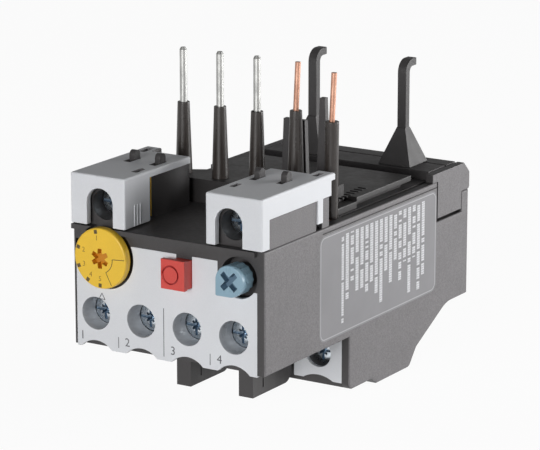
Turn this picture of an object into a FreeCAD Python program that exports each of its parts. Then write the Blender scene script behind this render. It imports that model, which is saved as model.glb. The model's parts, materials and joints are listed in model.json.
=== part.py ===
"""Plug-on thermal overload relay, 45 mm wide, as a parametric document.

Frame: X runs across the front from left to right, Y from the front face to the back, Z up.
The case frame used for drawing has X = 0 at mid width, Y = 0 on the white front plate and Z = 0 at
the bottom of the front section.  Every piece is then set down with the datum, so that the finished
relay has its origin under the middle of its bounding box, on the surface that its feet stand on.
"""
import FreeCAD
import Part
import Sketcher
import os

DIMENSIONS = (
    # case, in millimetres
    ("case_width", 45.0, "overall width"),
    ("wall", 1.8, "moulded wall"),
    ("cover_wall", 1.8, "thickness of the right side cover"),
    ("case_height", 25.0, "front section, bottom to top"),
    ("rear_depth", 82.2, "front face to rear wall"),
    ("rear_overhang", 0.4, "rear block past the rear wall"),
    ("lower_front", 32.2, "front face to the lower section"),
    ("toe_drop", 11.3, "toe of the lower section below the front section"),
    ("toe_length", 9.4, "length of the toe"),
    ("toe_slope", 2.0, "run of the step from toe to foot"),
    ("foot_drop", 12.7, "foot below the front section"),
    ("foot_length", 13.6, "length of the foot"),
    ("heel_run", 3.0, "run of the steep part behind the foot"),
    ("heel_rise", 3.6, "rise of the steep part behind the foot"),
    ("rump_end", 9.0, "end of the shallow part ahead of the rear wall"),
    ("rear_drop", 2.4, "rear wall below the front section"),
    ("corner_radius", 1.6, "outline corners of the case"),
    ("rump_radius", 9.0, "soft bend before the rear wall"),
    ("edge_radius", 0.4, "broken outer edge of the side cover"),
    ("bay_depth", 20.4, "room for the front terminal block"),
    ("tub_floor", 9.5, "inner floor of the lower section below the front section"),
    ("heel_wall", 3.6, "wall over the heel"),
    ("lip", 0.4, "edge of the left wall beside the front plate"),
    ("fit_gap", 0.2, "clearance round pieces that drop in"),
    ("run_gap", 0.1, "clearance of sliding pieces"),
    ("pin_gap", 0.05, "radial clearance of shafts and pins"),
    ("groove_drop", 1.2, "decorative groove on the side cover, below the case top"),
    ("groove_size", 0.3, "width and depth of that groove"),
    ("left_rise", 1.9, "raised stretch of the left wall above the case top"),
    ("left_rise_front", 50.0, "front end of that stretch"),
    # rear block and hooks
    ("notch_length", 10.9, "length of the notch for the rear block"),
    ("notch_wall", 2.9, "rear wall behind that notch"),
    ("notch_drop", 8.7, "seat of the rear block below the case top"),
    ("shelf_drop", 4.3, "top of the rear wall below the case top"),
    ("rear_rise", 1.9, "top of the rear block above the case top"),
    ("rear_chamfer", 2.4, "chamfer at the back of the rear block"),
    ("tab_lead", 2.2, "side tab ahead of the rear block"),
    ("tab_gap", 0.7, "slot under the side tab"),
    ("rib_groove", 0.5, "grooves in the top of the rear block"),
    ("strip_inset", 7.3, "groove across the top, behind the rear block's front"),
    ("hook_spare", 22.8, "what the distance between the two hooks leaves of the width"),
    ("hook_inset", 5.2, "hooks behind the rear block's front"),
    ("hook_rise", 24.2, "top of the hooks above the case top"),
    ("hook_width", 2.1, "hook width"),
    ("hook_thick", 1.6, "hook thickness"),
    ("hook_bend", 2.8, "outer radius of the hook's bend"),
    ("hook_tip", 1.6, "straight end of the hook"),
    ("flare_half", 3.9, "half width of the flare at the hook's foot"),
    ("flare_rise", 9.6, "top of the flare above the case top"),
    # deck, central block and guards
    ("deck_front", 39.6, "front of the deck plate"),
    ("deck_gap", 6.4, "rear of the deck plate ahead of the rear block"),
    ("deck_margin", 2.8, "side of the deck plate from the case's side"),
    ("deck_lift", 1.2, "deck plate above the case top"),
    ("deck_thick", 1.2, "deck plate thickness"),
    ("deck_inset", 1.6, "pedestal inside the deck plate's edge"),
    ("step_front", 31.6, "front of the low step beside the central block"),
    ("step_height", 1.5, "height of that step"),
    ("block_front", 26.8, "front of the central block"),
    ("block_rear", 38.9, "rear of the central block"),
    ("block_left_gap", 2.1, "left end of the central block from the case's side"),
    ("block_right_gap", 5.5, "right end of the central block from the case's side"),
    ("block_corner", 2.2, "cut corner of the central block"),
    ("block_skew", 13.7, "run of the skewed rear edge"),
    ("block_waist", 31.0, "left end of the skewed rear edge"),
    ("block_height", 5.0, "central block above the case top"),
    ("guard_front", 31.9, "front face of the wire guards"),
    ("guard_thick", 1.2, "thickness of the wire guards"),
    ("shield_lead", 4.6, "left edge of the shield's foot left of the first conductor"),
    ("shield_width", 6.0, "shield width at its foot"),
    ("shield_taper", 0.5, "taper of the shield on each side"),
    ("shield_rise", 18.8, "top of the shield above the case top"),
    ("prong_lead", 4.8, "left edge of the prong's foot left of the second conductor"),
    ("prong_width", 2.8, "prong width at its foot"),
    ("prong_taper", 0.8, "taper of the prong on each side"),
    ("prong_rise", 23.9, "top of the prong above the case top"),
    # pins and conductors
    ("pin_depth", 30.0, "row of pins behind the front face"),
    ("pin_inset", 6.5, "first main pin from the case's side"),
    ("pin_pitch", 8.9, "pitch of the main pins"),
    ("pin_radius", 0.75, "main pin radius above its sleeve"),
    ("pin_stem", 0.7, "half width of the square bar below a main pin, inside its sleeve"),
    ("pin_rise", 31.3, "top of the main pins above the case top"),
    ("pin_tip", 0.5, "bevel at the tip of a pin"),
    ("sleeve_rise", 20.0, "top of the pin sleeves above the case top"),
    ("sleeve_foot_r", 1.75, "sleeve radius at its foot"),
    ("sleeve_top_r", 1.25, "sleeve radius at its top"),
    ("wire_radius", 0.575, "bare conductor radius"),
    ("wire_lean", 2.7, "lean of the bare conductors, degrees"),
    ("wire_a_inset", 11.5, "first conductor from the case's side"),
    ("wire_b_inset", 3.1, "second conductor from the case's side"),
    ("wire_a_rise", 21.2, "top of the first conductor's sleeve above the case top"),
    ("wire_b_rise", 19.9, "top of the second conductor's sleeve above the case top"),
    ("wire_bare", 9.9, "bare length above the sleeve"),
    ("wire_b_foot_r", 1.3, "second sleeve's radius at its foot"),
    ("wire_b_head_r", 1.45, "second sleeve's radius at its top"),
    ("link_thick", 0.8, "flat conductor links"),
    ("link_width", 1.4, "width of the flat links"),
    # front plate and controls
    ("plate_thick", 1.2, "white plates"),
    ("plate_step", 3.1, "top edge of the front plate below the case top"),
    ("shoulder_drop", 8.3, "that edge beside the dial and the knob"),
    ("knob_edge", 4.9, "upright edge left of the knob's axis"),
    ("far_edge", 2.7, "end of the cut-away right of the knob's axis"),
    ("plate_drop", 0.4, "front plate below the front section"),
    ("scallop_rise", 1.6, "height of the arcs in the bottom edge"),
    ("scallop_half", 3.7, "half width of those arcs"),
    ("ledge_reach", 1.0, "ledge ahead of the front plate"),
    ("ledge_height", 1.0, "height of the ledge"),
    ("dial_inset", 7.6, "dial centre from the case's side"),
    ("dial_drop", 6.0, "dial centre below the case top"),
    ("dial_radius", 6.2, "dial radius"),
    ("dial_gap", 0.4, "recess round the dial"),
    ("dial_proud", 2.0, "dial ahead of the front plate"),
    ("dial_sunk", 1.0, "dial behind the front plate's face"),
    ("dial_slot_depth", 1.0, "star recess in the dial"),
    ("dial_slot_width", 1.3, "arm width of the star recess"),
    ("dial_slot_length", 5.0, "arm length of the star recess"),
    ("dial_shaft_r", 2.0, "dial shaft radius"),
    ("cam_throw", 0.8, "eccentricity of the dial's cam"),
    ("cam_radius", 3.2, "cam radius"),
    ("cam_thick", 2.0, "cam thickness"),
    ("test_x", 2.75, "test button centre across"),
    ("test_drop", 6.7, "test button centre below the case top"),
    ("test_width", 5.5, "test button head width"),
    ("test_height", 6.0, "test button head height"),
    ("test_proud", 2.5, "test button ahead of the front plate"),
    ("test_head", 1.0, "thickness of the test button's head"),
    ("stem_width", 3.4, "test button stem width"),
    ("stem_height", 5.6, "test button stem height"),
    ("stem_end", 12.0, "inner end of the stem and of the reset plunger"),
    ("test_ring_r", 2.0, "ring on the test button"),
    ("reset_inset", 6.0, "reset knob centre from the case's side"),
    ("reset_drop", 5.8, "reset knob centre below the case top"),
    ("reset_radius", 3.2, "reset knob radius"),
    ("reset_proud", 3.6, "reset knob ahead of the front plate"),
    ("reset_pointer", 1.5, "thickness of the knob's pointed corner"),
    ("reset_sunk", 0.4, "reset knob behind the front plate's face"),
    ("reset_well_r", 4.2, "well round the reset knob"),
    ("reset_well", 2.8, "depth of that well"),
    ("reset_slot", 1.1, "cross recess in the reset knob"),
    ("reset_slot_width", 1.0, "arm width of that cross"),
    ("reset_slot_length", 4.2, "arm length of that cross"),
    ("plunger_r", 2.4, "reset plunger radius"),
    ("spring_wire_r", 0.2, "spring wire radius"),
    ("spring_r", 1.3, "mean radius of the springs"),
    ("spring_pitch", 1.2, "pitch of the springs"),
    # auxiliary terminals
    ("aux_inset", 5.05, "first auxiliary terminal from the case's side"),
    ("aux_spare", 1.4, "what the pitches of the four auxiliary terminals leave of the width"),
    ("aux_z", 6.9, "auxiliary screws above the bottom"),
    ("well_r", 3.35, "screw wells in the front plate"),
    ("well_rear_r", 3.0, "their rear end"),
    ("collar_wall", 0.55, "collar round each well"),
    ("collar_depth", 3.0, "collar behind the plate"),
    ("aux_head_y", 3.4, "auxiliary screw heads behind the front face"),
    ("screw_head_r", 2.9, "screw head radius"),
    ("screw_head", 2.0, "screw head thickness"),
    ("head_bevel", 0.5, "bevel of the screw heads"),
    ("screw_shank_r", 1.75, "screw shank radius"),
    ("screw_reach", 9.0, "screw shank length"),
    ("screw_slot", 0.8, "width of the screw's slot and cross"),
    ("screw_slot_depth", 1.1, "depth of the screw's slot and cross"),
    ("washer_thick", 0.8, "clamp washer thickness"),
    ("nut_gap", 4.4, "wire room between washer and nut plate"),
    ("nut_thick", 1.2, "nut plate thickness"),
    ("clamp_half", 3.2, "half width of washers and nut plates"),
    ("chamber_half", 3.5, "half width of the terminal chambers"),
    ("chamber_floor", 1.6, "bottom of the chambers above the case bottom"),
    # main terminals
    ("main_z", 4.4, "main screws below the front section"),
    ("main_well_r", 3.0, "screw holes of the main terminals"),
    ("main_plate_drop", 10.1, "bottom edge of the main terminal plates"),
    ("main_head_y", 2.2, "main screw heads behind the plates' faces"),
    ("main_scallop", 1.0, "arc in the bottom edge of the main plates"),
    ("fin_thick", 3.4, "barrier fin thickness"),
    ("fin_front", 16.6, "front of the barrier fins"),
    ("fin_rear", 31.4, "rear of the barrier fins"),
    ("fin_drop", 11.0, "bottom of the barrier fins"),
    ("fin_radius", 2.5, "rear foot of the fins"),
    ("fin_slit", 20.3, "slit through a fin, behind the front face"),
    ("fin_slit_width", 0.4, "width of the slit"),
    ("fin_slit_rise", 1.4, "slit above the fin's foot"),
    ("fin_slit_length", 2.0, "length of the slit"),
    ("fin_scoop", 0.9, "depth of the scoop in a fin's top"),
    ("fin_scoop_r", 1.9, "radius of that scoop"),
    ("entry_half", 3.3, "half width of the main wire entries"),
    # caps
    ("cap_width", 13.0, "terminal caps from the case's side to their inner edge"),
    ("cap_rise", 10.6, "top of the caps above the case top"),
    ("cap_wall", 1.4, "cap wall"),
    ("cap_foot", 0.3, "cap legs above the case top"),
    ("cap_roof_rear", 22.6, "rear edge of the cap roof"),
    ("cap_strip", 3.6, "width of the longer strip of the roof"),
    ("cap_strip_rear", 26.2, "rear edge of that strip"),
    ("cap_side_rear", 24.8, "rear edge of the cap's outer side"),
    ("hole_right_inset", 7.65, "screw hole of the right cap from the case's side"),
    ("hole_left_inset", 7.0, "screw hole of the left cap from the case's side"),
    ("cap_hole_r", 3.1, "arch radius"),
    ("cap_arch_rise", 4.9, "centre of the arch above the case top"),
    ("cap_well_rise", 4.3, "centre of the screw well behind the arch, above the case top"),
    ("cap_screw_rise", 4.5, "cap screw axis above the case top"),
    ("window_front", 1.7, "front of the side window"),
    ("window_rear", 19.7, "rear of the side window"),
    ("window_rise", 6.15, "top of the side window above the case top"),
    ("cap_leg", 1.9, "thin leg behind the window"),
    ("leg_gap", 1.3, "foot of that leg above the case top"),
    ("inner_wall_rear", 8.0, "rear end of the cap's inner wall"),
    ("insert_front", 1.1, "front of the terminal inserts"),
    ("insert_rear", 24.4, "rear of the terminal inserts"),
    ("pad_sink", 0.35, "insert pads behind the cap's outer side"),
    ("cap_head_y", 3.6, "cap screw heads behind the front face"),
    ("cap_head_r", 2.8, "cap screw head radius"),
    ("cap_clamp_half", 2.7, "half size of the cap clamps"),
    ("tab_radius", 1.0, "round end of the snap tabs"),
    ("tab_stem", 0.9, "straight part of a snap tab above the cap"),
    ("slot_lead", 1.9, "slot in the roof ahead of a snap tab"),
    ("pit_width", 1.2, "width of the pits in the roof"),
    ("pit_length", 3.0, "length of those pits"),
    ("pit_depth", 0.9, "depth of those pits"),
    ("pit_inset", 2.0, "pits from the sides of the cap"),
    ("pit_front", 6.8, "front pit behind the front face"),
    ("pit_rear", 22.8, "rear pit behind the front face"),
    ("tab_thick", 1.3, "thickness of the snap tabs"),
    ("tab_seat", 15.1, "snap tabs behind the front face"),
    ("tab_pitch", 6.2, "distance between a cap's tabs"),
    ("tab_inset", 7.6, "middle of the tabs from the case's side"),
    # mechanism
    ("strip_thick", 0.8, "bimetal strip thickness"),
    ("strip_front", 47.0, "front edge of the bimetal strips"),
    ("strip_width", 4.0, "bimetal strip width"),
    ("strip_drop", 5.2, "top of the bimetal strips below the case top"),
    ("heater_wall", 1.0, "heater winding thickness"),
    ("heater_gap", 0.6, "air between strip and winding"),
    ("heater_top", 12.8, "top of the windings"),
    ("bar_thick", 1.2, "busbar thickness"),
    ("bar_half", 0.8, "half width of the upper busbars"),
    ("bar_jog", 3.2, "sideways run of the upper busbars behind the pins"),
    ("divider_thick", 1.4, "dividers between the phases"),
    ("divider_front", 44.0, "front of the dividers"),
    ("divider_length", 11.0, "length of the dividers"),
    ("slider_drop", 6.5, "bottom of the trip slider below the case top"),
    ("slider_thick", 2.0, "trip slider thickness"),
    ("slider_margin", 4.5, "end of the trip slider from the case's side"),
    ("slider_edge", 1.0, "trip slider beside the bimetal strips"),
    ("slider_travel", 1.2, "travel of the trip slider"),
    ("lever_inset", 5.6, "trip lever from the case's side"),
    ("lever_thick", 1.2, "trip lever thickness"),
    ("lever_front", 28.0, "front of the trip lever"),
    ("lever_depth", 3.0, "trip lever width along the pin"),
    ("lever_bottom", 6.0, "bottom of the trip lever"),
    ("lever_drop", 4.0, "top of the trip lever below the case top"),
    ("pivot_z", 13.0, "pivot of the trip lever"),
    ("pivot_r", 1.0, "pivot pin radius"),
    ("hub_r", 2.2, "hub radius"),
    ("carrier_front", 24.0, "front of the contact carrier"),
    ("carrier_depth", 6.4, "contact carrier depth"),
    ("carrier_bottom", 6.0, "bottom of the contact carrier"),
    ("carrier_thick", 2.0, "contact carrier thickness"),
    ("carrier_inset", 6.5, "left end of the contact carrier from the case's side"),
    ("contact_gap", 1.65, "gap of the open contact"),
    ("contact_size", 1.2, "fixed contact tips"),
    ("bridge_thick", 0.6, "contact bridge thickness"),
    ("bridge_bottom", 3.1, "bottom of the contact bridges"),
    ("post_thick", 1.0, "posts under the contact carrier"),
    ("post_offset", 3.8, "posts behind the carrier's front"),
    ("post_lead", 2.8, "last post beyond the open bridge"),
    ("middle_post", -2.45, "middle post across"),
    ("tongue_floor", 2.0, "lower contact tongues above the bottom"),
    ("tongue_step", 1.2, "upper contact tongues above the lower ones"),
    ("tip_inset", 0.4, "first contact tip behind the carrier's front"),
    ("tip_pitch", 4.0, "distance between a bridge's two tips"),
    ("tip_top", 5.6, "top of the contact tips"),
    ("label_front", 20.4, "front edge of the rating label"),
    ("label_gap", 0.3, "rear edge of the rating label ahead of the rear block"),
    ("label_bottom", 1.5, "bottom edge of the rating label"),
    ("label_drop", 1.6, "top edge of the rating label below the case top"),
    ("label_thick", 0.3, "rating label thickness"),
    ("label_radius", 2.0, "corners of the rating label"),
)

doc = FreeCAD.newDocument("overload_relay")
parts = []


class Size:
    """A length that carries its number and the sheet formula that it comes from."""

    def __init__(self, value, text):
        self.value = value
        self.text = text

    @staticmethod
    def of(value):
        return value if isinstance(value, Size) else Size(float(value), "(%r)" % float(value))

    def _joined(self, other, sign, value):
        return Size(value, "(%s %s %s)" % (self.text, sign, other.text))

    def __add__(self, other):
        other = Size.of(other)
        return self._joined(other, "+", self.value + other.value)

    def __sub__(self, other):
        other = Size.of(other)
        return self._joined(other, "-", self.value - other.value)

    def __mul__(self, other):
        other = Size.of(other)
        return self._joined(other, "*", self.value * other.value)

    def __truediv__(self, other):
        other = Size.of(other)
        return self._joined(other, "/", self.value / other.value)

    def __radd__(self, other):
        return Size.of(other) + self

    def __rsub__(self, other):
        return Size.of(other) - self

    def __rmul__(self, other):
        return Size.of(other) * self

    def __neg__(self):
        return Size.of(0) - self


class Sheet:
    """The spreadsheet of driving dimensions; each attribute is one of its cells as a Size."""

    def __init__(self, rows):
        cells = doc.addObject("Spreadsheet::Sheet", "Dims")
        for number, (alias, value, note) in enumerate(rows, start=1):
            cells.set("A%d" % number, alias)
            cells.set("B%d" % number, str(value))
            cells.set("C%d" % number, note)
            cells.setAlias("B%d" % number, alias)
            setattr(self, alias, Size(value, "Dims." + alias))


d = Sheet(DIMENSIONS)
doc.recompute()

HALF = d.case_width / 2
LEFT_IN = d.wall - HALF
COVER_IN = HALF - d.cover_wall
FAR = Size.of(2)          # how far a cutting tool runs past the face that it cuts
DIAGONAL = 0.5 ** 0.5     # an arm's reach along each axis when it stands at 45 degrees
DATUM = {
    "x": Size.of(0),
    "y": (d.reset_proud - d.rear_depth - d.rear_overhang) / 2,
    "z": d.foot_drop,
}
TURN = {
    "x": FreeCAD.Rotation(FreeCAD.Vector(0, 1, 0), 90),
    "y": FreeCAD.Rotation(FreeCAD.Vector(1, 0, 0), -90),
    "z": FreeCAD.Rotation(),
}
PLANES = {"XY": "XY_Plane", "XZ": "XZ_Plane", "YZ": "YZ_Plane"}


# ---------------------------------------------------------------- drawing helpers

def bind(item, prop, size):
    item.setExpression(prop, Size.of(size).text)


def put(item, x, y, z):
    for axis, place in zip("xyz", (x, y, z)):
        bind(item, "Placement.Base." + axis, DATUM[axis] + place)
    return item


def block(name, x, y, z):
    """A box between the (low, high) pairs x, y and z."""
    box = doc.addObject("Part::Box", name)
    for side, (low, high) in zip(("Length", "Width", "Height"), (x, y, z)):
        bind(box, side, Size.of(high) - low)
    return put(box, x[0], y[0], z[0])


def rod(name, axis, centre, span, radius, top_radius=None):
    """A cylinder, or a cone, along an axis; centre is (x, y), (x, z) or (y, z) across it."""
    kind = "Part::Cylinder" if top_radius is None else "Part::Cone"
    item = doc.addObject(kind, name)
    item.Placement.Rotation = TURN[axis]
    if top_radius is None:
        bind(item, "Radius", radius)
    else:
        bind(item, "Radius1", radius)
        bind(item, "Radius2", top_radius)
    bind(item, "Height", Size.of(span[1]) - span[0])
    first, second = centre
    places = {"x": (span[0], first, second), "y": (first, span[0], second)}
    return put(item, *places.get(axis, (first, second, span[0])))


def prism(name, plane, outline, span):
    """A body padded from a sketch whose corners are bound to the sheet, over span along its normal."""
    body = doc.addObject("PartDesign::Body", name)
    origin = next(f for f in body.Origin.OriginFeatures if f.Role == PLANES[plane])
    sketch = body.newObject("Sketcher::SketchObject", name + "_sketch")
    sketch.AttachmentSupport = [(origin, "")]
    sketch.MapMode = "FlatFace"
    low, high = (Size.of(end) for end in span)
    start = -high if plane == "XZ" else low
    sketch.setExpression("AttachmentOffset.Base.z", start.text)
    points = [(Size.of(u), Size.of(v)) for u, v in outline]
    places = [FreeCAD.Vector(u.value, v.value, 0) for u, v in points]
    count = len(places)
    for index in range(count):
        sketch.addGeometry(Part.LineSegment(places[index], places[(index + 1) % count]), False)
    for index in range(count):
        sketch.addConstraint(Sketcher.Constraint("Coincident", index, 2, (index + 1) % count, 1))
    for index, (u, v) in enumerate(points):
        for kind, size in (("DistanceX", u), ("DistanceY", v)):
            number = sketch.addConstraint(Sketcher.Constraint(kind, -1, 1, index, 1, size.value))
            sketch.setExpression("Constraints[%d]" % number, size.text)
    pad = body.newObject("PartDesign::Pad", name + "_pad")
    pad.Profile = sketch
    bind(pad, "Length", high - low)
    body.Tip = pad
    put(body, 0, 0, 0)
    return body


def union(name, solids):
    if len(solids) == 1:
        return solids[0]
    node = doc.addObject("Part::MultiFuse", name)
    node.Shapes = solids
    node.Refine = True
    return node


def minus(name, base, tools):
    node = doc.addObject("Part::Cut", name)
    node.Base = base
    node.Tool = union(name + "_tools", tools)
    node.Refine = True
    return node


def rounded(name, base, radius, wanted):
    """Rounds those of the base's straight edges whose ends, in the case frame, satisfy wanted(start, end)."""
    doc.recompute()
    shift = FreeCAD.Vector(*(DATUM[axis].value for axis in "xyz"))
    edges = []
    for number, edge in enumerate(base.Shape.Edges, start=1):
        ends = [vertex.Point - shift for vertex in edge.Vertexes]
        if len(ends) == 2 and wanted(*ends):
            edges.append((number, radius.value, radius.value))
    node = doc.addObject("Part::Fillet", name)
    node.Base = base
    node.Edges = edges
    return node


def common(name, solids):
    node = doc.addObject("Part::MultiCommon", name)
    node.Shapes = solids
    return node


def keep(item, label):
    item.Label = label
    parts.append(item)
    return item


def near(value, target):
    return abs(value - Size.of(target).value) < 0.01


# ---------------------------------------------------------------- places that several pieces share

CASE_TOP = d.case_height
GROOVE_Z = CASE_TOP - d.groove_drop
NOTCH_REAR = d.rear_depth - d.notch_wall
NOTCH_FRONT = NOTCH_REAR - d.notch_length
NOTCH_FLOOR = CASE_TOP - d.notch_drop
REAR_SHELF = CASE_TOP - d.shelf_drop
REAR_TOP = CASE_TOP + d.rear_rise
BACK_STRIP = NOTCH_FRONT + d.strip_inset
HOOK_SEAT = NOTCH_FRONT + d.hook_inset
HOOK_TOP = CASE_TOP + d.hook_rise
HOOK_PITCH = d.case_width - d.hook_spare
FLARE_TOP = CASE_TOP + d.flare_rise
DECK_REAR = NOTCH_FRONT - d.deck_gap
DECK_HALF = HALF - d.deck_margin
BLOCK_LEFT = HALF - d.block_left_gap
BLOCK_RIGHT = HALF - d.block_right_gap
SHIELD_TOP = CASE_TOP + d.shield_rise
PRONG_TOP = CASE_TOP + d.prong_rise
PIN_FIRST = d.pin_inset - HALF
PIN_TOP = CASE_TOP + d.pin_rise
SLEEVE_TOP = CASE_TOP + d.sleeve_rise
WIRE_A_X = HALF - d.wire_a_inset
SHIELD_LEFT = WIRE_A_X - d.shield_lead
WIRE_B_X = HALF - d.wire_b_inset
PRONG_LEFT = WIRE_B_X - d.prong_lead
WIRE_A_TOP = CASE_TOP + d.wire_a_rise
WIRE_B_TOP = CASE_TOP + d.wire_b_rise
PLATE_TOP = CASE_TOP - d.plate_step
PLATE_SHOULDER = CASE_TOP - d.shoulder_drop
DIAL_X = d.dial_inset - HALF
DIAL_Z = CASE_TOP - d.dial_drop
TEST_Z = CASE_TOP - d.test_drop
RESET_X = HALF - d.reset_inset
PLATE_KNOB_EDGE = RESET_X - d.knob_edge
PLATE_FAR_EDGE = RESET_X + d.far_edge
RESET_Z = CASE_TOP - d.reset_drop
AUX_FIRST = d.aux_inset - HALF
AUX_PITCH = (d.case_width - d.aux_spare) / 4
CAP_INNER = HALF - d.cap_width
CAP_TOP = CASE_TOP + d.cap_rise
CAP_HOLE_RIGHT = HALF - d.hole_right_inset
CAP_HOLE_LEFT = HALF - d.hole_left_inset
CAP_ARCH_Z = CASE_TOP + d.cap_arch_rise
CAP_WELL_Z = CASE_TOP + d.cap_well_rise
CAP_SCREW_Z = CASE_TOP + d.cap_screw_rise
WINDOW_TOP = CASE_TOP + d.window_rise
CAP_LEG_FOOT = CASE_TOP + d.leg_gap
TAB_MIDDLE = HALF - d.tab_inset
STRIP_TOP = CASE_TOP - d.strip_drop
SLIDER_BOTTOM = CASE_TOP - d.slider_drop
SLIDER_HALF = HALF - d.slider_margin
LEVER_X = HALF - d.lever_inset
LEVER_TOP = CASE_TOP - d.lever_drop
CARRIER_LEFT = d.carrier_inset - HALF
LABEL_REAR = NOTCH_FRONT - d.label_gap
LABEL_TOP = CASE_TOP - d.label_drop
MAIN_PITCH = d.case_width / 3
MAIN_PLATE_HALF = (MAIN_PITCH - d.fin_thick - d.run_gap) / 2
FLOOR = -d.tub_floor
BAY_REAR = d.bay_depth
TOE_END = d.lower_front + d.toe_length
FOOT_START = TOE_END + d.toe_slope
FOOT_END = FOOT_START + d.foot_length
HEEL = (FOOT_END + d.heel_run, d.heel_rise - d.foot_drop)
RUMP = (d.rear_depth - d.rump_end, -d.rear_drop)
LEFT_TOP = CASE_TOP + d.left_rise
PLATE_LEFT = d.lip - HALF
LOWER_WALL = d.lower_front + d.plate_thick
AUX_X = [AUX_FIRST + AUX_PITCH * number for number in range(4)]
BRIDGE_NC_X = (AUX_X[0] + AUX_X[1]) / 2
BRIDGE_NO_X = (AUX_X[2] + AUX_X[3]) / 2
MAIN_X = [MAIN_PITCH * number for number in (-1, 0, 1)]
PIN_X = [PIN_FIRST + d.pin_pitch * number for number in range(3)]
FIN_X = [MAIN_PITCH * number / 2 for number in (-1, 1)]
LINK_TOP = CASE_TOP - d.run_gap
LINK_BOTTOM = LINK_TOP - d.link_thick
NUT_FRONT = d.aux_head_y + d.screw_head + d.washer_thick + d.nut_gap
MAIN_HEAD = d.lower_front + d.main_head_y
MAIN_WASHER = MAIN_HEAD + d.screw_head
MAIN_NUT = MAIN_WASHER + d.washer_thick + d.nut_gap
CAP_WASHER = d.cap_head_y + d.screw_head
CAP_NUT = CAP_WASHER + d.washer_thick + d.nut_gap
BLOCK_TOP = CASE_TOP + d.block_height
STRIP_REAR = d.strip_front + d.strip_width
WINDING_FRONT = d.strip_front - d.heater_gap - d.heater_wall
WINDING_REAR = STRIP_REAR + d.heater_gap + d.heater_wall
DIVIDER_X = FIN_X
STEM = (d.test_x + d.test_width / 2 - d.stem_width, d.test_x + d.test_width / 2)
STEM_RISE = (TEST_Z - d.stem_height / 2, TEST_Z + d.stem_height / 2)
CARRIER_POSTS = (CARRIER_LEFT + d.run_gap, d.middle_post, BRIDGE_NO_X + d.post_lead)
TONGUE_LOW = (d.tongue_floor, d.tongue_floor + d.link_thick)
TONGUE_HIGH = (d.tongue_floor + d.tongue_step, d.tongue_floor + d.tongue_step + d.link_thick)
TONGUES = (TONGUE_LOW, TONGUE_HIGH, TONGUE_HIGH, TONGUE_LOW)
TIP_NEAR = (d.carrier_front + d.tip_inset, d.carrier_front + d.tip_inset + d.contact_size)
TIP_FAR = (TIP_NEAR[0] + d.tip_pitch, TIP_NEAR[1] + d.tip_pitch)
NC_TIP = BRIDGE_NC_X + d.bridge_thick / 2 + d.pin_gap
NO_TIP = BRIDGE_NO_X - d.bridge_thick / 2 - d.contact_gap - d.contact_size


def side_profile(name, span):
    """The case's side outline, padded over span along X."""
    outline = [
        (0, 0),
        (d.lower_front, 0),
        (d.lower_front, -d.toe_drop),
        (TOE_END, -d.toe_drop),
        (FOOT_START, -d.foot_drop),
        (FOOT_END, -d.foot_drop),
        HEEL,
        RUMP,
        (d.rear_depth, -d.rear_drop),
        (d.rear_depth, REAR_SHELF),
        (NOTCH_REAR, REAR_SHELF),
        (NOTCH_REAR, NOTCH_FLOOR),
        (NOTCH_FRONT, NOTCH_FLOOR),
        (NOTCH_FRONT, CASE_TOP),
        (0, CASE_TOP),
    ]
    body = prism(name, "YZ", outline, span)
    doc.recompute()
    soft = (
        (d.corner_radius, ((d.lower_front, -d.toe_drop), (FOOT_END, -d.foot_drop), HEEL)),
        (d.rump_radius, (RUMP,)),
    )
    for number, (radius, corners) in enumerate(soft):
        base = body.Tip
        edges = []
        for index, edge in enumerate(base.Shape.Edges, start=1):
            ends = [vertex.Point for vertex in edge.Vertexes]
            for y, z in corners:
                if all(near(end.y, y) and near(end.z, z) for end in ends):
                    edges.append("Edge%d" % index)
        fillet = body.newObject("PartDesign::Fillet", "%s_soft_%d" % (name, number))
        fillet.Base = (base, edges)
        bind(fillet, "Radius", radius)
        body.Tip = fillet
        doc.recompute()
    return body


def barrier_fin(name, x):
    """A fin between two main terminals, rounded at its rear foot and scooped under the front plate."""
    half = d.fin_thick / 2
    side = (x - half, x + half)
    blank = block(name + "_blank", side, (d.fin_front, d.fin_rear), (-d.fin_drop, 0))

    def rear_foot(start, end):
        return all(near(point.y, d.fin_rear) and near(point.z, -d.fin_drop) for point in (start, end))

    soft = rounded(name + "_soft", blank, d.fin_radius, rear_foot)
    through = (side[0] - FAR, side[1] + FAR)
    slit_top = d.fin_slit_rise - d.fin_drop
    slit = block(name + "_slit", through, (d.fin_slit, d.fin_slit + d.fin_slit_width),
                 (slit_top, slit_top + d.fin_slit_length))
    scoop = rod(name + "_scoop", "y", (x, d.fin_scoop_r - d.fin_scoop), (d.fin_front - FAR, BAY_REAR), d.fin_scoop_r)
    return minus(name, soft, [slit, scoop])


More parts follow.
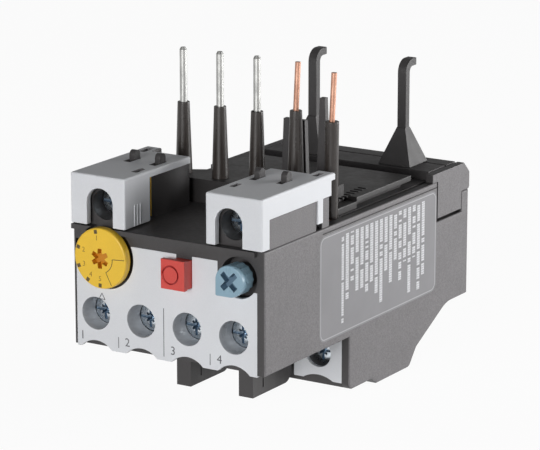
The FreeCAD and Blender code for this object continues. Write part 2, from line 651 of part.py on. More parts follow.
def main_case():
    tub = side_profile("case_profile", (-HALF, COVER_IN))
    cavity = prism("case_cavity", "YZ", [
        (BAY_REAR + d.wall, d.wall),
        (LOWER_WALL + d.wall, d.wall),
        (LOWER_WALL + d.wall, FLOOR),
        (FOOT_END, FLOOR),
        (HEEL[0], HEEL[1] + d.heel_wall),
        (RUMP[0], d.wall - d.rear_drop),
        (d.rear_depth - d.wall, d.wall - d.rear_drop),
        (d.rear_depth - d.wall, NOTCH_FLOOR - d.wall),
        (NOTCH_FRONT - d.wall, NOTCH_FLOOR - d.wall),
        (NOTCH_FRONT - d.wall, CASE_TOP - d.wall),
        (BAY_REAR + d.wall, CASE_TOP - d.wall),
    ], (LEFT_IN, COVER_IN + FAR))
    below = -d.foot_drop - FAR
    tools = [
        cavity,
        block("front_bay", (LEFT_IN, COVER_IN + FAR), (-FAR, BAY_REAR), (-FAR, CASE_TOP + FAR)),
        block("plate_seat", (PLATE_LEFT, LEFT_IN + FAR), (-FAR, d.plate_thick), (-FAR, PLATE_TOP)),
        block("lower_seat", (LEFT_IN, COVER_IN + FAR), (d.lower_front - FAR, LOWER_WALL), (below, 0)),
        block("deck_slot", (DECK_HALF + d.fit_gap, COVER_IN + FAR),
              (d.step_front, NOTCH_FRONT), (CASE_TOP - d.wall / 2, CASE_TOP + FAR)),
        rod("dial_shaft_hole", "y", (DIAL_X, DIAL_Z), (BAY_REAR - FAR, BAY_REAR + d.wall + FAR),
            d.dial_shaft_r + d.pin_gap),
    ]
    for number, x in enumerate(MAIN_X):
        tools.append(rod("main_hole_%d" % number, "y", (x, -d.main_z),
                         (d.lower_front - FAR, LOWER_WALL + d.wall + FAR), d.main_well_r))
        tools.append(block("main_entry_%d" % number, (x - d.entry_half, x + d.entry_half),
                           (MAIN_WASHER + d.washer_thick, MAIN_NUT), (below, FLOOR + FAR)))
    for number, x in enumerate(PIN_X):
        tools.append(pin_bar("pin_hole_%d" % number, x, (CASE_TOP - d.wall - FAR, CASE_TOP + FAR), d.pin_gap))
    for number in range(len(AUX_X)):
        tools.append(tongue(number, "contact_slot_%d", (BAY_REAR - FAR, BAY_REAR + d.wall + FAR), d.pin_gap))
    tools += link_grooves("case")
    tools.append(rod("collar_room", "y", (AUX_X[0], d.aux_z), (-FAR, d.plate_thick + d.collar_depth + d.run_gap),
                     d.well_r + d.collar_wall + d.pin_gap))
    shell = minus("case_shell", tub, tools)
    adds = [
        block("left_rise", (-HALF, LEFT_IN), (d.left_rise_front, NOTCH_REAR), (NOTCH_FLOOR, LEFT_TOP)),
        rod("lever_pin", "y", (LEVER_X, d.pivot_z),
            (BAY_REAR + d.wall, d.lever_front + d.lever_depth + d.wall), d.pivot_r),
    ]
    for number, x in enumerate(FIN_X):
        adds.append(barrier_fin("fin_%d" % number, x))
    for number, x in enumerate(DIVIDER_X):
        half = d.divider_thick / 2
        adds.append(block("divider_%d" % number, (x - half, x + half),
                          (d.divider_front, d.divider_front + d.divider_length),
                          (FLOOR, SLIDER_BOTTOM - d.run_gap)))
    for number, x in enumerate(CARRIER_POSTS):
        adds.append(block("carrier_post_%d" % number, (x, x + d.post_thick),
                          (d.carrier_front + d.post_offset, d.carrier_front + d.carrier_depth),
                          (d.wall, d.carrier_bottom - d.run_gap)))
    keep(union("main_case", [shell] + adds), "main_case")


def tongue(number, name, y, grow=0):
    """The flat tongue behind auxiliary terminal number; grow widens it into its slot."""
    x = AUX_X[number]
    low, high = TONGUES[number]
    return block(name % number, (x - d.contact_size - grow, x + d.contact_size + grow), y,
                 (low - grow, high + grow))


def link_runs():
    """Plan view, as (x, y) spans, of the flat links from the cap terminals to the two conductors."""
    half = d.link_width / 2
    left = -CAP_HOLE_LEFT + d.cap_clamp_half
    cross = (d.block_front + d.fit_gap, d.block_front + d.fit_gap + d.link_width)
    foot = d.pin_depth + half
    right = CAP_HOLE_RIGHT - d.cap_clamp_half
    return {
        "a": [
            ((left - d.link_width, left), (CAP_NUT, cross[1])),
            ((left - d.link_width, WIRE_A_X + half), cross),
            ((WIRE_A_X - half, WIRE_A_X + half), (cross[0], foot)),
        ],
        "b": [
            ((right, WIRE_B_X + half), (CAP_NUT, CAP_NUT + d.nut_thick)),
            ((WIRE_B_X - half, WIRE_B_X + half), (CAP_NUT, foot)),
        ],
    }


def cap_nut_spans(hole_x):
    return ((hole_x - d.cap_clamp_half, hole_x + d.cap_clamp_half), (CAP_NUT, CAP_NUT + d.nut_thick))


def link_grooves(name):
    """Grooves in a top face that the flat links lie in."""
    gap = d.pin_gap
    tools = []
    runs = link_runs()
    spans = runs["a"] + runs["b"] + [cap_nut_spans(CAP_HOLE_RIGHT), cap_nut_spans(-CAP_HOLE_LEFT)]
    for number, (x, y) in enumerate(spans):
        tools.append(block("%s_groove_%d" % (name, number), (x[0] - gap, x[1] + gap),
                           (y[0] - gap, y[1] + gap), (LINK_BOTTOM - gap, CASE_TOP + FAR)))
    return tools


def mirrored(sign, low, high):
    return (low, high) if sign > 0 else (-high, -low)


# ---------------------------------------------------------------- case

def side_cover():
    cover = side_profile("cover_profile", (COVER_IN, HALF))
    cover = rounded("cover_soft", cover, d.edge_radius,
                    lambda start, end: near(start.x, HALF) and near(end.x, HALF))
    groove = block("cover_groove", (HALF - d.groove_size, HALF + FAR), (d.plate_thick + d.bay_depth, NOTCH_FRONT),
                   (GROOVE_Z, GROOVE_Z + d.groove_size))
    keep(minus("side_cover", cover, [groove, label_slab("label_seat")]), "side_cover")


def label_slab(name):
    slab = block(name + "_blank", (HALF - d.label_thick, HALF), (d.label_front, LABEL_REAR),
                 (d.label_bottom, LABEL_TOP))
    return rounded(name, slab, d.label_radius,
                   lambda start, end: near(start.y, Size.of(end.y)) and near(start.z, Size.of(end.z)))


def label_plate():
    keep(label_slab("label_plate"), "label_plate")


def rear_block():
    front = NOTCH_FRONT + d.fit_gap
    back = d.rear_depth + d.rear_overhang
    shelf = REAR_SHELF + d.run_gap
    tail = [
        (back - d.rear_chamfer, REAR_TOP),
        (back, REAR_TOP - d.rear_chamfer),
        (back, shelf + d.rear_overhang),
        (d.rear_depth, shelf),
        (NOTCH_REAR - d.fit_gap, shelf),
    ]
    rear = NOTCH_REAR - d.fit_gap
    seat = NOTCH_FLOOR + d.tab_gap
    body = prism("rear_body", "YZ", [(front, NOTCH_FLOOR), (front, REAR_TOP)] + tail
                 + [(rear, NOTCH_FLOOR)], (LEFT_IN, COVER_IN))
    tab = prism("rear_tab", "YZ", [(front, seat), (front, CASE_TOP), (front - d.tab_lead, CASE_TOP),
                                   (front - d.tab_lead, REAR_TOP)] + tail + [(rear, seat)],
                (COVER_IN, HALF))
    grooves = [
        block("rear_groove_x", (LEFT_IN, COVER_IN), (BACK_STRIP, BACK_STRIP + d.rib_groove),
              (REAR_TOP - d.rib_groove, REAR_TOP + FAR)),
        block("rear_groove_y", (COVER_IN - d.rib_groove, COVER_IN), (NOTCH_FRONT, back + FAR),
              (REAR_TOP - d.rib_groove, REAR_TOP + FAR)),
        block("rear_hollow", (LEFT_IN + d.wall, COVER_IN - d.wall), (front + d.wall, rear - d.wall),
              (NOTCH_FLOOR - FAR, REAR_TOP - d.wall)),
    ]
    keep(minus("rear_block", union("rear_solid", [body, tab]), grooves), "rear_block")


def hook(label, x):
    """A bent strip hook that stands on a flared foot."""
    half = d.hook_width / 2
    flare = doc.addObject("Part::Wedge", label + "_flare")
    flare.Placement.Rotation = FreeCAD.Rotation(FreeCAD.Vector(1, 0, 0), 90)
    spans = (("X", d.flare_half), ("Z", d.flare_half), ("X2", half), ("Z2", half))
    for axis, reach in spans:
        bind(flare, axis + "min", -reach)
        bind(flare, axis + "max", reach)
    bind(flare, "Ymin", 0)
    bind(flare, "Ymax", FLARE_TOP - REAR_TOP)
    put(flare, x, HOOK_SEAT, REAR_TOP)
    side = (x - half, x + half)
    front = HOOK_SEAT - d.hook_thick / 2
    centre = (front + d.hook_bend, HOOK_TOP - d.hook_bend)
    ring = minus(label + "_ring", rod(label + "_bend", "x", centre, side, d.hook_bend),
                 [rod(label + "_bore", "x", centre, (side[0] - FAR, side[1] + FAR), d.hook_bend - d.hook_thick)])
    elbow = common(label + "_elbow", [ring, block(label + "_corner", (side[0] - FAR, side[1] + FAR),
                                                  (front - FAR, centre[0]), (centre[1], HOOK_TOP + FAR))])
    stem = block(label + "_stem", side, (front, front + d.hook_thick), (REAR_TOP, centre[1]))
    tip = block(label + "_tip", side, (centre[0], centre[0] + d.hook_tip),
                (HOOK_TOP - d.hook_thick, HOOK_TOP))
    keep(union(label, [flare, stem, elbow, tip]), label)


def deck_plate():
    half = DECK_HALF
    top = CASE_TOP + d.deck_lift
    plate = block("deck_top", (-half, half), (d.deck_front, DECK_REAR), (top, top + d.deck_thick))
    foot = block("deck_foot", (d.deck_inset - half, half - d.deck_inset),
                 (d.deck_front + d.deck_inset, DECK_REAR - d.deck_inset), (CASE_TOP, top))
    step = block("deck_step", (BLOCK_RIGHT + d.fit_gap, half), (d.step_front, d.deck_front),
                 (CASE_TOP, CASE_TOP + d.step_height))
    keep(union("deck_plate", [plate, foot, step]), "deck_plate")


def central_block():
    corner = d.block_corner
    body = prism("central_body", "XY", [
        (corner - BLOCK_LEFT, d.block_front),
        (BLOCK_RIGHT, d.block_front),
        (BLOCK_RIGHT, d.block_rear),
        (d.block_skew - BLOCK_LEFT, d.block_rear),
        (-BLOCK_LEFT, d.block_waist),
        (-BLOCK_LEFT, d.block_front + corner),
    ], (CASE_TOP, BLOCK_TOP))
    tools = []
    for number, x in enumerate(PIN_X):
        tools.append(pin_bar("block_pin_hole_%d" % number, x, (CASE_TOP - FAR, BLOCK_TOP + FAR), d.pin_gap))
    tools.append(rod("block_wire_hole", "z", (WIRE_A_X, d.pin_depth), (CASE_TOP - FAR, BLOCK_TOP + FAR),
                     d.wire_radius + d.pin_gap))
    keep(minus("central_block", body, tools), "central_block")


def wire_guard():
    y = (d.guard_front, d.guard_front + d.guard_thick)
    guards = (
        ("shield", SHIELD_LEFT, d.shield_width, d.shield_taper, SHIELD_TOP),
        ("prong", PRONG_LEFT, d.prong_width, d.prong_taper, PRONG_TOP),
    )
    solids = []
    for name, left, width, taper, top in guards:
        solids.append(prism("guard_" + name, "XZ", [
            (left, BLOCK_TOP), (left + width, BLOCK_TOP), (left + width - taper, top), (left + taper, top),
        ], y))
    foot = block("guard_foot", (SHIELD_LEFT, BLOCK_RIGHT), y, (BLOCK_TOP, BLOCK_TOP + d.guard_thick))
    keep(union("wire_guard", solids + [foot]), "wire_guard")


# ---------------------------------------------------------------- pins and conductors

def pin_bar(name, x, span, grow=0):
    """The square bar below a main pin, made wider by grow on each side."""
    half = d.pin_stem + grow
    return block(name, (x - half, x + half), (d.pin_depth - half, d.pin_depth + half), span)


def phase_pins():
    for number, x in enumerate(PIN_X, start=1):
        centre = (x, d.pin_depth)
        stem = pin_bar("pin_stem_%d" % number, x, (d.heater_top + d.bar_thick, SLEEVE_TOP))
        shank = rod("pin_shank_%d" % number, "z", centre, (SLEEVE_TOP, PIN_TOP - d.pin_tip), d.pin_radius)
        tip = rod("pin_tip_%d" % number, "z", centre, (PIN_TOP - d.pin_tip, PIN_TOP),
                  d.pin_radius, d.pin_radius - d.pin_tip / 2)
        keep(union("phase_pin_%d" % number, [stem, shank, tip]), "phase_pin_%d" % number)
        sleeve = rod("sleeve_cone_%d" % number, "z", centre, (BLOCK_TOP, SLEEVE_TOP),
                     d.sleeve_foot_r, d.sleeve_top_r)
        bore = pin_bar("sleeve_bore_%d" % number, x, (BLOCK_TOP - FAR, SLEEVE_TOP + FAR), d.pin_gap)
        keep(minus("pin_sleeve_%d" % number, sleeve, [bore]), "pin_sleeve_%d" % number)


def coil_wires():
    wires = (
        ("a", WIRE_A_X, WIRE_A_TOP, BLOCK_TOP, d.sleeve_foot_r, d.sleeve_top_r, -CAP_HOLE_LEFT),
        ("b", WIRE_B_X, WIRE_B_TOP, CASE_TOP, d.wire_b_foot_r, d.wire_b_head_r, CAP_HOLE_RIGHT),
    )
    for key, x, top, seat, foot_r, head_r, hole_x in wires:
        centre = (x, d.pin_depth)
        riser = rod("riser_" + key, "z", centre, (LINK_TOP - d.link_thick / 2, top), d.wire_radius)
        bare = rod("bare_" + key, "z", centre, (top, top + d.wire_bare), d.wire_radius)
        bare.Placement.Rotation = FreeCAD.Rotation(FreeCAD.Vector(0, 1, 0), d.wire_lean.value)
        joint = doc.addObject("Part::Sphere", "wire_joint_" + key)
        bind(joint, "Radius", d.wire_radius)
        put(joint, x, d.pin_depth, top)
        links = [block("link_%s_%d" % (key, number), run_x, run_y, (LINK_BOTTOM, LINK_TOP))
                 for number, (run_x, run_y) in enumerate(link_runs()[key])]
        nut_x, nut_y = cap_nut_spans(hole_x)
        plate = block("link_nut_" + key, nut_x, nut_y, (LINK_BOTTOM, CAP_SCREW_Z + d.cap_clamp_half))
        solid = union("wire_solid_" + key, [riser, bare, joint, plate] + links)
        hole = rod("link_hole_" + key, "y", (hole_x, CAP_SCREW_Z), (CAP_NUT - FAR, CAP_NUT + d.nut_thick + FAR),
                   d.screw_shank_r + d.pin_gap)
        keep(minus("coil_wire_" + key, solid, [hole]), "coil_wire_" + key)
        sleeve = rod("wire_cone_" + key, "z", centre, (seat, top), foot_r, head_r)
        bore = rod("wire_bore_" + key, "z", centre, (seat - FAR, top + FAR), d.wire_radius + d.pin_gap)
        keep(minus("wire_sleeve_" + key, sleeve, [bore]), "wire_sleeve_" + key)


# ---------------------------------------------------------------- terminals

def screw(label, x, z, head_y, head_r):
    """A captive terminal screw along Y with a combined slot and cross."""
    head_rear = head_y + d.screw_head
    bevel = d.head_bevel
    solids = [
        rod(label + "_dome", "y", (x, z), (head_y, head_y + bevel), head_r - bevel, head_r),
        rod(label + "_head", "y", (x, z), (head_y + bevel, head_rear), head_r),
        rod(label + "_shank", "y", (x, z), (head_rear, head_rear + d.screw_reach), d.screw_shank_r),
    ]
    half = d.screw_slot / 2
    arm = head_r - bevel * 2
    depth = (head_y - FAR, head_y + d.screw_slot_depth)
    cross = [
        block(label + "_slot", (x - head_r - FAR, x + head_r + FAR), depth, (z - half, z + half)),
        block(label + "_cross", (x - half, x + half), depth, (z - arm, z + arm)),
    ]
    keep(minus(label, union(label + "_solid", solids), cross), label)


def washer(name, x, z, front, half):
    plate = block(name + "_plate", (x - half, x + half), (front, front + d.washer_thick), (z - half, z + half))
    hole = rod(name + "_hole", "y", (x, z), (front - FAR, front + d.washer_thick + FAR),
               d.screw_shank_r + d.pin_gap)
    return minus(name, plate, [hole])


def terminal_screws():
    for number, x in enumerate(AUX_X):
        screw("aux_screw_%d" % (number + 1), x, d.aux_z, d.aux_head_y, d.screw_head_r)
    for number, x in enumerate(MAIN_X, start=1):
        screw("main_screw_%d" % number, x, -d.main_z, MAIN_HEAD, d.screw_head_r)
    screw("cap_screw_left", -CAP_HOLE_LEFT, CAP_SCREW_Z, d.cap_head_y, d.cap_head_r)
    screw("cap_screw_right", CAP_HOLE_RIGHT, CAP_SCREW_Z, d.cap_head_y, d.cap_head_r)


def clamp_washers():
    aux = [washer("aux_washer_%d" % number, x, d.aux_z, d.aux_head_y + d.screw_head, d.clamp_half)
           for number, x in enumerate(AUX_X)]
    keep(union("aux_clamps", aux), "aux_clamps")
    main = [washer("main_washer_%d" % number, x, -d.main_z, MAIN_WASHER, d.clamp_half)
            for number, x in enumerate(MAIN_X)]
    keep(union("main_clamps", main), "main_clamps")
    caps = [washer("cap_washer_%d" % number, x, CAP_SCREW_Z, CAP_WASHER, d.cap_clamp_half)
            for number, x in enumerate((-CAP_HOLE_LEFT, CAP_HOLE_RIGHT))]
    keep(union("cap_clamps", caps), "cap_clamps")


def fixed_contact(number, tip_x, tip_y):
    """Nut plate, tongue, cross strip and contact tip of one auxiliary terminal."""
    x = AUX_X[number]
    low, high = TONGUES[number]
    nut = (NUT_FRONT, NUT_FRONT + d.nut_thick)
    name = "contact_%d" % number
    plate = block(name + "_nut", (x - d.clamp_half, x + d.clamp_half), nut, (low, d.aux_z + d.clamp_half))
    run = tongue(number, "contact_%d_tongue", (NUT_FRONT, tip_y[1]))
    side = (x - d.contact_size, x + d.contact_size)
    left, right = (side[0], tip_x + d.contact_size) if side[0].value < tip_x.value else (tip_x, side[1])
    cross = block(name + "_cross", (left, right), tip_y, (low, high))
    tip = block(name + "_tip", (tip_x, tip_x + d.contact_size), tip_y, (low, d.tip_top))
    hole = rod(name + "_hole", "y", (x, d.aux_z), (nut[0] - FAR, nut[1] + FAR), d.screw_shank_r + d.pin_gap)
    return minus(name, union(name + "_solid", [plate, run, cross, tip]), [hole])


def fixed_contacts():
    keep(union("nc_contacts", [fixed_contact(0, NC_TIP, TIP_NEAR), fixed_contact(1, NC_TIP, TIP_FAR)]),
         "nc_contacts")
    keep(union("no_contacts", [fixed_contact(2, NO_TIP, TIP_FAR), fixed_contact(3, NO_TIP, TIP_NEAR)]),
         "no_contacts")


def front_outline_tools(name, grow):
    """What the front plate leaves open round the dial, the knob and the test button."""
    y = (-FAR, d.plate_thick)
    top = PLATE_TOP + FAR
    return [
        rod(name + "_dial", "y", (DIAL_X, DIAL_Z), y, d.dial_radius + d.dial_gap - grow),
        block(name + "_dial_corner", (-HALF - FAR, DIAL_X), y, (PLATE_SHOULDER + grow, top)),
        rod(name + "_knob", "y", (RESET_X, RESET_Z), y, d.reset_well_r - grow),
        block(name + "_knob_corner", (PLATE_KNOB_EDGE + grow, COVER_IN + FAR), y, (RESET_Z, top)),
        block(name + "_far_corner", (PLATE_FAR_EDGE + grow, COVER_IN + FAR), y, (PLATE_SHOULDER + grow, top)),
        block(name + "_stem", (STEM[0] - d.run_gap + grow, STEM[1] + d.run_gap - grow), y,
              (STEM_RISE[0] - d.run_gap + grow, top)),
    ]


def front_plate():
    slab = block("front_slab", (PLATE_LEFT, COVER_IN), (0, d.plate_thick), (-d.plate_drop, PLATE_TOP))
    sheet = minus("front_sheet", slab, front_outline_tools("plate", 0))
    rear = d.plate_thick + d.collar_depth
    collars = [rod("collar_%d" % number, "y", (x, d.aux_z), (0, rear), d.well_r + d.collar_wall)
               for number, x in enumerate(AUX_X)]
    tools = []
    scallop_r = (d.scallop_half * d.scallop_half + d.scallop_rise * d.scallop_rise) / (d.scallop_rise * 2)
    scallop_z = d.scallop_rise - d.plate_drop - scallop_r
    for number, x in enumerate(AUX_X):
        tools.append(rod("plate_well_%d" % number, "y", (x, d.aux_z), (0, rear), d.well_r, d.well_rear_r))
        tools.append(rod("plate_scallop_%d" % number, "y", (x, scallop_z), (-FAR, d.plate_thick + FAR), scallop_r))
    keep(minus("front_plate", union("plate_solid", [sheet] + collars), tools), "front_plate")


def front_block():
    rear = BAY_REAR - d.fit_gap
    body = block("front_body", (LEFT_IN, COVER_IN), (0, rear), (0, CASE_TOP))
    ledge = block("front_ledge", (-HALF, COVER_IN), (-d.ledge_reach, 0), (CASE_TOP - d.ledge_height, CASE_TOP))
    seat = minus("plate_seat_tool", block("plate_room", (-HALF - FAR, COVER_IN + FAR), (-FAR, d.plate_thick),
                                          (-FAR, PLATE_TOP)), front_outline_tools("seat", 0))
    dial = (DIAL_X, DIAL_Z)
    knob = (RESET_X, RESET_Z)
    tools = [
        seat,
        rod("dial_recess", "y", dial, (-d.ledge_reach - FAR, d.dial_sunk + d.fit_gap), d.dial_radius + d.dial_gap),
        rod("dial_bore", "y", dial, (0, rear + FAR), d.dial_shaft_r + d.pin_gap),
        rod("knob_well", "y", knob, (-FAR, d.reset_well), d.reset_well_r),
        rod("plunger_bore", "y", knob, (0, rear + FAR), d.plunger_r + d.run_gap),
        block("stem_slot", (STEM[0] - d.run_gap, STEM[1] + d.run_gap), (-FAR, rear + FAR),
              (STEM_RISE[0] - d.run_gap, STEM_RISE[1] + d.run_gap)),
    ]
    chamber_front = d.plate_thick + d.collar_depth
    washer_rear = d.aux_head_y + d.screw_head + d.washer_thick
    for number, x in enumerate(AUX_X):
        side = (x - d.chamber_half, x + d.chamber_half)
        tools.append(rod("well_%d" % number, "y", (x, d.aux_z), (-FAR, chamber_front + d.run_gap),
                         d.well_r + d.collar_wall + d.pin_gap))
        tools.append(block("chamber_%d" % number, side,
                           (chamber_front, d.aux_head_y + d.screw_head + d.screw_reach + d.fit_gap),
                           (d.chamber_floor, d.aux_z + d.chamber_half)))
        tools.append(block("entry_%d" % number, (x - d.chamber_half + d.wall / 2, x + d.chamber_half - d.wall / 2),
                           (washer_rear, NUT_FRONT), (-FAR, d.chamber_floor + FAR)))
        tools.append(tongue(number, "block_slot_%d", (NUT_FRONT, rear + FAR), d.pin_gap))
    tools += link_grooves("block")
    keep(minus("front_block", union("front_solid", [body, ledge]), tools), "front_block")


def main_plates():
    half = MAIN_PLATE_HALF
    y = (d.lower_front, LOWER_WALL)
    edge = COVER_IN - MAIN_PITCH
    for number, x in enumerate(MAIN_X, start=1):
        left = x - (edge if number == 1 else half)
        right = x + (edge if number == 3 else half)
        slab = block("main_slab_%d" % number, (left, right), y, (-d.main_plate_drop, 0))
        hole = rod("main_plate_hole_%d" % number, "y", (x, -d.main_z), (y[0] - FAR, y[1] + FAR), d.main_well_r)
        arc = rod("main_plate_arc_%d" % number, "y", (x, -d.main_plate_drop - half), (y[0] - FAR, y[1] + FAR),
                  half + d.main_scallop)
        keep(minus("main_plate_%d" % number, slab, [hole, arc]), "main_plate_%d" % number)


# ---------------------------------------------------------------- caps

def cap(label, sign, hole_x):
    inner, outer = CAP_INNER, HALF
    foot = CASE_TOP + d.cap_foot
    t = d.cap_wall
    front = -d.ledge_reach
    box = block(label + "_box", mirrored(sign, inner, outer), (front, d.cap_strip_rear), (foot, CAP_TOP))
    soft = rounded(label + "_soft", box, d.edge_radius,
                   lambda start, end: (near(start.z, CAP_TOP) and near(end.z, CAP_TOP))
                   or (near(start.y, front) and near(end.y, front)
                       and near(start.x, Size.of(end.x))))
    through = (front - FAR, front + t + FAR)
    hole = (hole_x - d.cap_hole_r, hole_x + d.cap_hole_r)
    far = d.cap_strip_rear + FAR
    low = foot - FAR
    roof = CAP_TOP - t
    wall = mirrored(sign, outer - t - FAR, outer + FAR)
    tools = [
        block(label + "_inside", mirrored(sign, inner + t, outer - t), (front + t, far), (low, roof)),
        rod(label + "_arch", "y", (hole_x, CAP_ARCH_Z), through, d.cap_hole_r),
        block(label + "_door", hole, through, (low, CAP_ARCH_Z)),
        block(label + "_roof_end", mirrored(sign, inner - FAR, outer - d.cap_strip),
              (d.cap_roof_rear, far), (low, CAP_TOP + FAR)),
        block(label + "_inner_end", mirrored(sign, inner - FAR, inner + t + FAR), (d.inner_wall_rear, far), (low, roof)),
        block(label + "_window", wall, (d.window_front, d.window_rear), (low, WINDOW_TOP)),
        block(label + "_leg_end", wall, (d.window_rear - FAR, d.window_rear + d.cap_leg), (low, CAP_LEG_FOOT)),
        block(label + "_cut", wall, (d.window_rear + d.cap_leg, far), (low, WINDOW_TOP)),
        block(label + "_side_end", wall, (d.cap_side_rear, far), (low, roof)),
    ]
    for number, x in enumerate(tab_places(sign)):
        gap = d.tab_thick / 2 + d.run_gap
        tools.append(block("%s_tab_slot_%d" % (label, number), (x - gap, x + gap),
                           (d.tab_seat - d.tab_radius - d.slot_lead, d.tab_seat + d.tab_radius + d.run_gap),
                           (roof - FAR, CAP_TOP + FAR)))
    pit, run = d.pit_width / 2, d.pit_length / 2
    for number, (x, y) in enumerate(((inner + d.pit_inset, d.pit_front), (outer - d.pit_inset, d.pit_rear))):
        tools.append(block("%s_pit_%d" % (label, number), mirrored(sign, x - pit, x + pit), (y - run, y + run),
                           (CAP_TOP - d.pit_depth, CAP_TOP + FAR)))
    keep(minus(label, soft, tools), label)


def tab_places(sign):
    middle = TAB_MIDDLE * sign
    return [middle - d.tab_pitch / 2, middle + d.tab_pitch / 2]


def cap_insert(label, sign, hole_x):
    t = d.cap_wall + d.run_gap
    inner, outer = CAP_INNER + t, HALF - t
    top = CAP_TOP - t
    body = block(label + "_body", mirrored(sign, inner, outer), (d.insert_front, d.insert_rear), (CASE_TOP, top))
    pads = []
    for number, y in enumerate(((d.window_front + d.fit_gap, d.window_rear - d.fit_gap),
                                (d.window_rear + d.cap_leg + d.fit_gap, d.insert_rear))):
        pads.append(block("%s_pad_%d" % (label, number), mirrored(sign, outer - t, HALF - d.pad_sink), y,
                          (CASE_TOP, WINDOW_TOP - d.fit_gap)))
    tabs = []
    crown = CAP_TOP + d.tab_stem
    for number, x in enumerate(tab_places(sign)):
        sides = (x - d.tab_thick / 2, x + d.tab_thick / 2)
        tabs.append(rod("%s_tab_%d" % (label, number), "x", (d.tab_seat, crown), sides, d.tab_radius))
        tabs.append(block("%s_tab_stem_%d" % (label, number), sides,
                          (d.tab_seat - d.tab_radius, d.tab_seat + d.tab_radius), (top - t, crown)))
    half = d.cap_clamp_half + d.fit_gap
    chamber_rear = CAP_WASHER + d.screw_reach + d.fit_gap
    gap = d.pin_gap
    tools = [
        rod(label + "_well", "y", (hole_x, CAP_WELL_Z), (d.insert_front - FAR, CAP_WASHER), d.cap_hole_r),
        block(label + "_chamber", (hole_x - half, hole_x + half), (CAP_WASHER - gap, chamber_rear),
              (CAP_SCREW_Z - half, CAP_SCREW_Z + half)),
        block(label + "_nut_slot", (hole_x - half, hole_x + half), (CAP_NUT - gap, CAP_NUT + d.nut_thick + gap),
              (CASE_TOP - FAR, CAP_SCREW_Z)),
    ]
    keep(minus(label, union(label + "_solid", [body] + pads + tabs), tools), label)


# ---------------------------------------------------------------- controls

def dial():
    centre = (DIAL_X, DIAL_Z)
    bevel = d.edge_radius
    rear = BAY_REAR + d.wall + d.cam_thick + d.run_gap
    solids = [
        rod("dial_bevel", "y", centre, (-d.dial_proud, bevel - d.dial_proud), d.dial_radius - bevel, d.dial_radius),
        rod("dial_disc", "y", centre, (bevel - d.dial_proud, d.dial_sunk), d.dial_radius),
        rod("dial_shaft", "y", centre, (d.dial_sunk, rear), d.dial_shaft_r),
    ]
    half = d.dial_slot_width / 2
    reach = d.dial_slot_length / 2
    depth = (-d.dial_proud - FAR, d.dial_slot_depth - d.dial_proud)
    star = [
        block("dial_slot_x", (DIAL_X - reach, DIAL_X + reach), depth, (DIAL_Z - half, DIAL_Z + half)),
        block("dial_slot_z", (DIAL_X - half, DIAL_X + half), depth, (DIAL_Z - reach, DIAL_Z + reach)),
    ]
    keep(minus("dial", union("dial_solid", solids), star), "dial")


def dial_cam():
    front = BAY_REAR + d.wall + d.run_gap
    disc = rod("cam_disc", "y", (DIAL_X + d.cam_throw, DIAL_Z), (front, front + d.cam_thick), d.cam_radius)
    bore = rod("cam_bore", "y", (DIAL_X, DIAL_Z), (front - FAR, front + d.cam_thick + FAR), d.dial_shaft_r)
    keep(minus("dial_cam", disc, [bore]), "dial_cam")


def spring(label, x, z):
    """A compression spring between an inner end of a push rod and the rear of the front bay."""
    helix = doc.addObject("Part::Helix", label + "_line")
    length = BAY_REAR - d.stem_end - d.spring_wire_r * 2
    bind(helix, "Pitch", d.spring_pitch)
    bind(helix, "Height", length)
    bind(helix, "Radius", d.spring_r)
    ring = doc.addObject("Part::Circle", label + "_section")
    ring.Placement.Rotation = FreeCAD.Rotation(FreeCAD.Vector(1, 0, 0), 90)
    bind(ring, "Placement.Base.x", d.spring_r)
    bind(ring, "Radius", d.spring_wire_r)
    coil = doc.addObject("Part::Sweep", label)
    coil.Sections = [ring]
    coil.Spine = (helix, [])
    coil.Solid = True
    coil.Frenet = True
    coil.Placement.Rotation = TURN["y"]
    put(coil, x, d.stem_end + d.spring_wire_r, z)
    keep(coil, label)


def test_button():
    side = (d.test_x - d.test_width / 2, d.test_x + d.test_width / 2)
    rise = (TEST_Z - d.test_height / 2, TEST_Z + d.test_height / 2)
    head = block("test_head", side, (-d.test_proud, d.test_head - d.test_proud), rise)
    stem = block("test_stem", STEM, (d.test_head - d.test_proud, d.stem_end), STEM_RISE)
    centre = (side[0] + d.test_ring_r + d.run_gap, TEST_Z)
    depth = (-d.test_proud - FAR, d.fit_gap - d.test_proud)
    ring = minus("test_ring", rod("test_ring_outer", "y", centre, depth, d.test_ring_r),
                 [rod("test_ring_inner", "y", centre, (depth[0] - FAR, depth[1] + FAR), d.test_ring_r - d.fit_gap)])
    keep(minus("test_button", union("test_solid", [head, stem]), [ring]), "test_button")


def reset_knob():
    x, z, r = RESET_X, RESET_Z, d.reset_radius
    front = -d.reset_proud
    bevel = d.edge_radius / 2
    body = [
        rod("knob_bevel", "y", (x, z), (front, front + bevel), r - bevel, r),
        rod("knob_disc", "y", (x, z), (front + bevel, d.reset_sunk), r),
        block("knob_pointer", (x - r, x), (front + bevel, front + d.reset_pointer), (z - r, z)),
    ]
    half = d.reset_slot_width * DIAGONAL / 2
    reach = d.reset_slot_length * DIAGONAL / 2
    near_tip, far_tip, waist = reach - half, reach + half, half * 2
    corners = [
        (far_tip, near_tip), (near_tip, far_tip), (0, waist), (-near_tip, far_tip), (-far_tip, near_tip),
        (-waist, 0), (-far_tip, -near_tip), (-near_tip, -far_tip), (0, -waist), (near_tip, -far_tip),
        (far_tip, -near_tip), (waist, 0),
    ]
    cross = prism("knob_cross", "XZ", [(x + u, z + v) for u, v in corners], (front - FAR, front + d.reset_slot))
    keep(minus("reset_knob", union("knob_solid", body), [cross]), "reset_knob")
    keep(rod("reset_plunger", "y", (x, z), (d.reset_sunk, d.stem_end), d.plunger_r), "reset_plunger")


# ---------------------------------------------------------------- mechanism

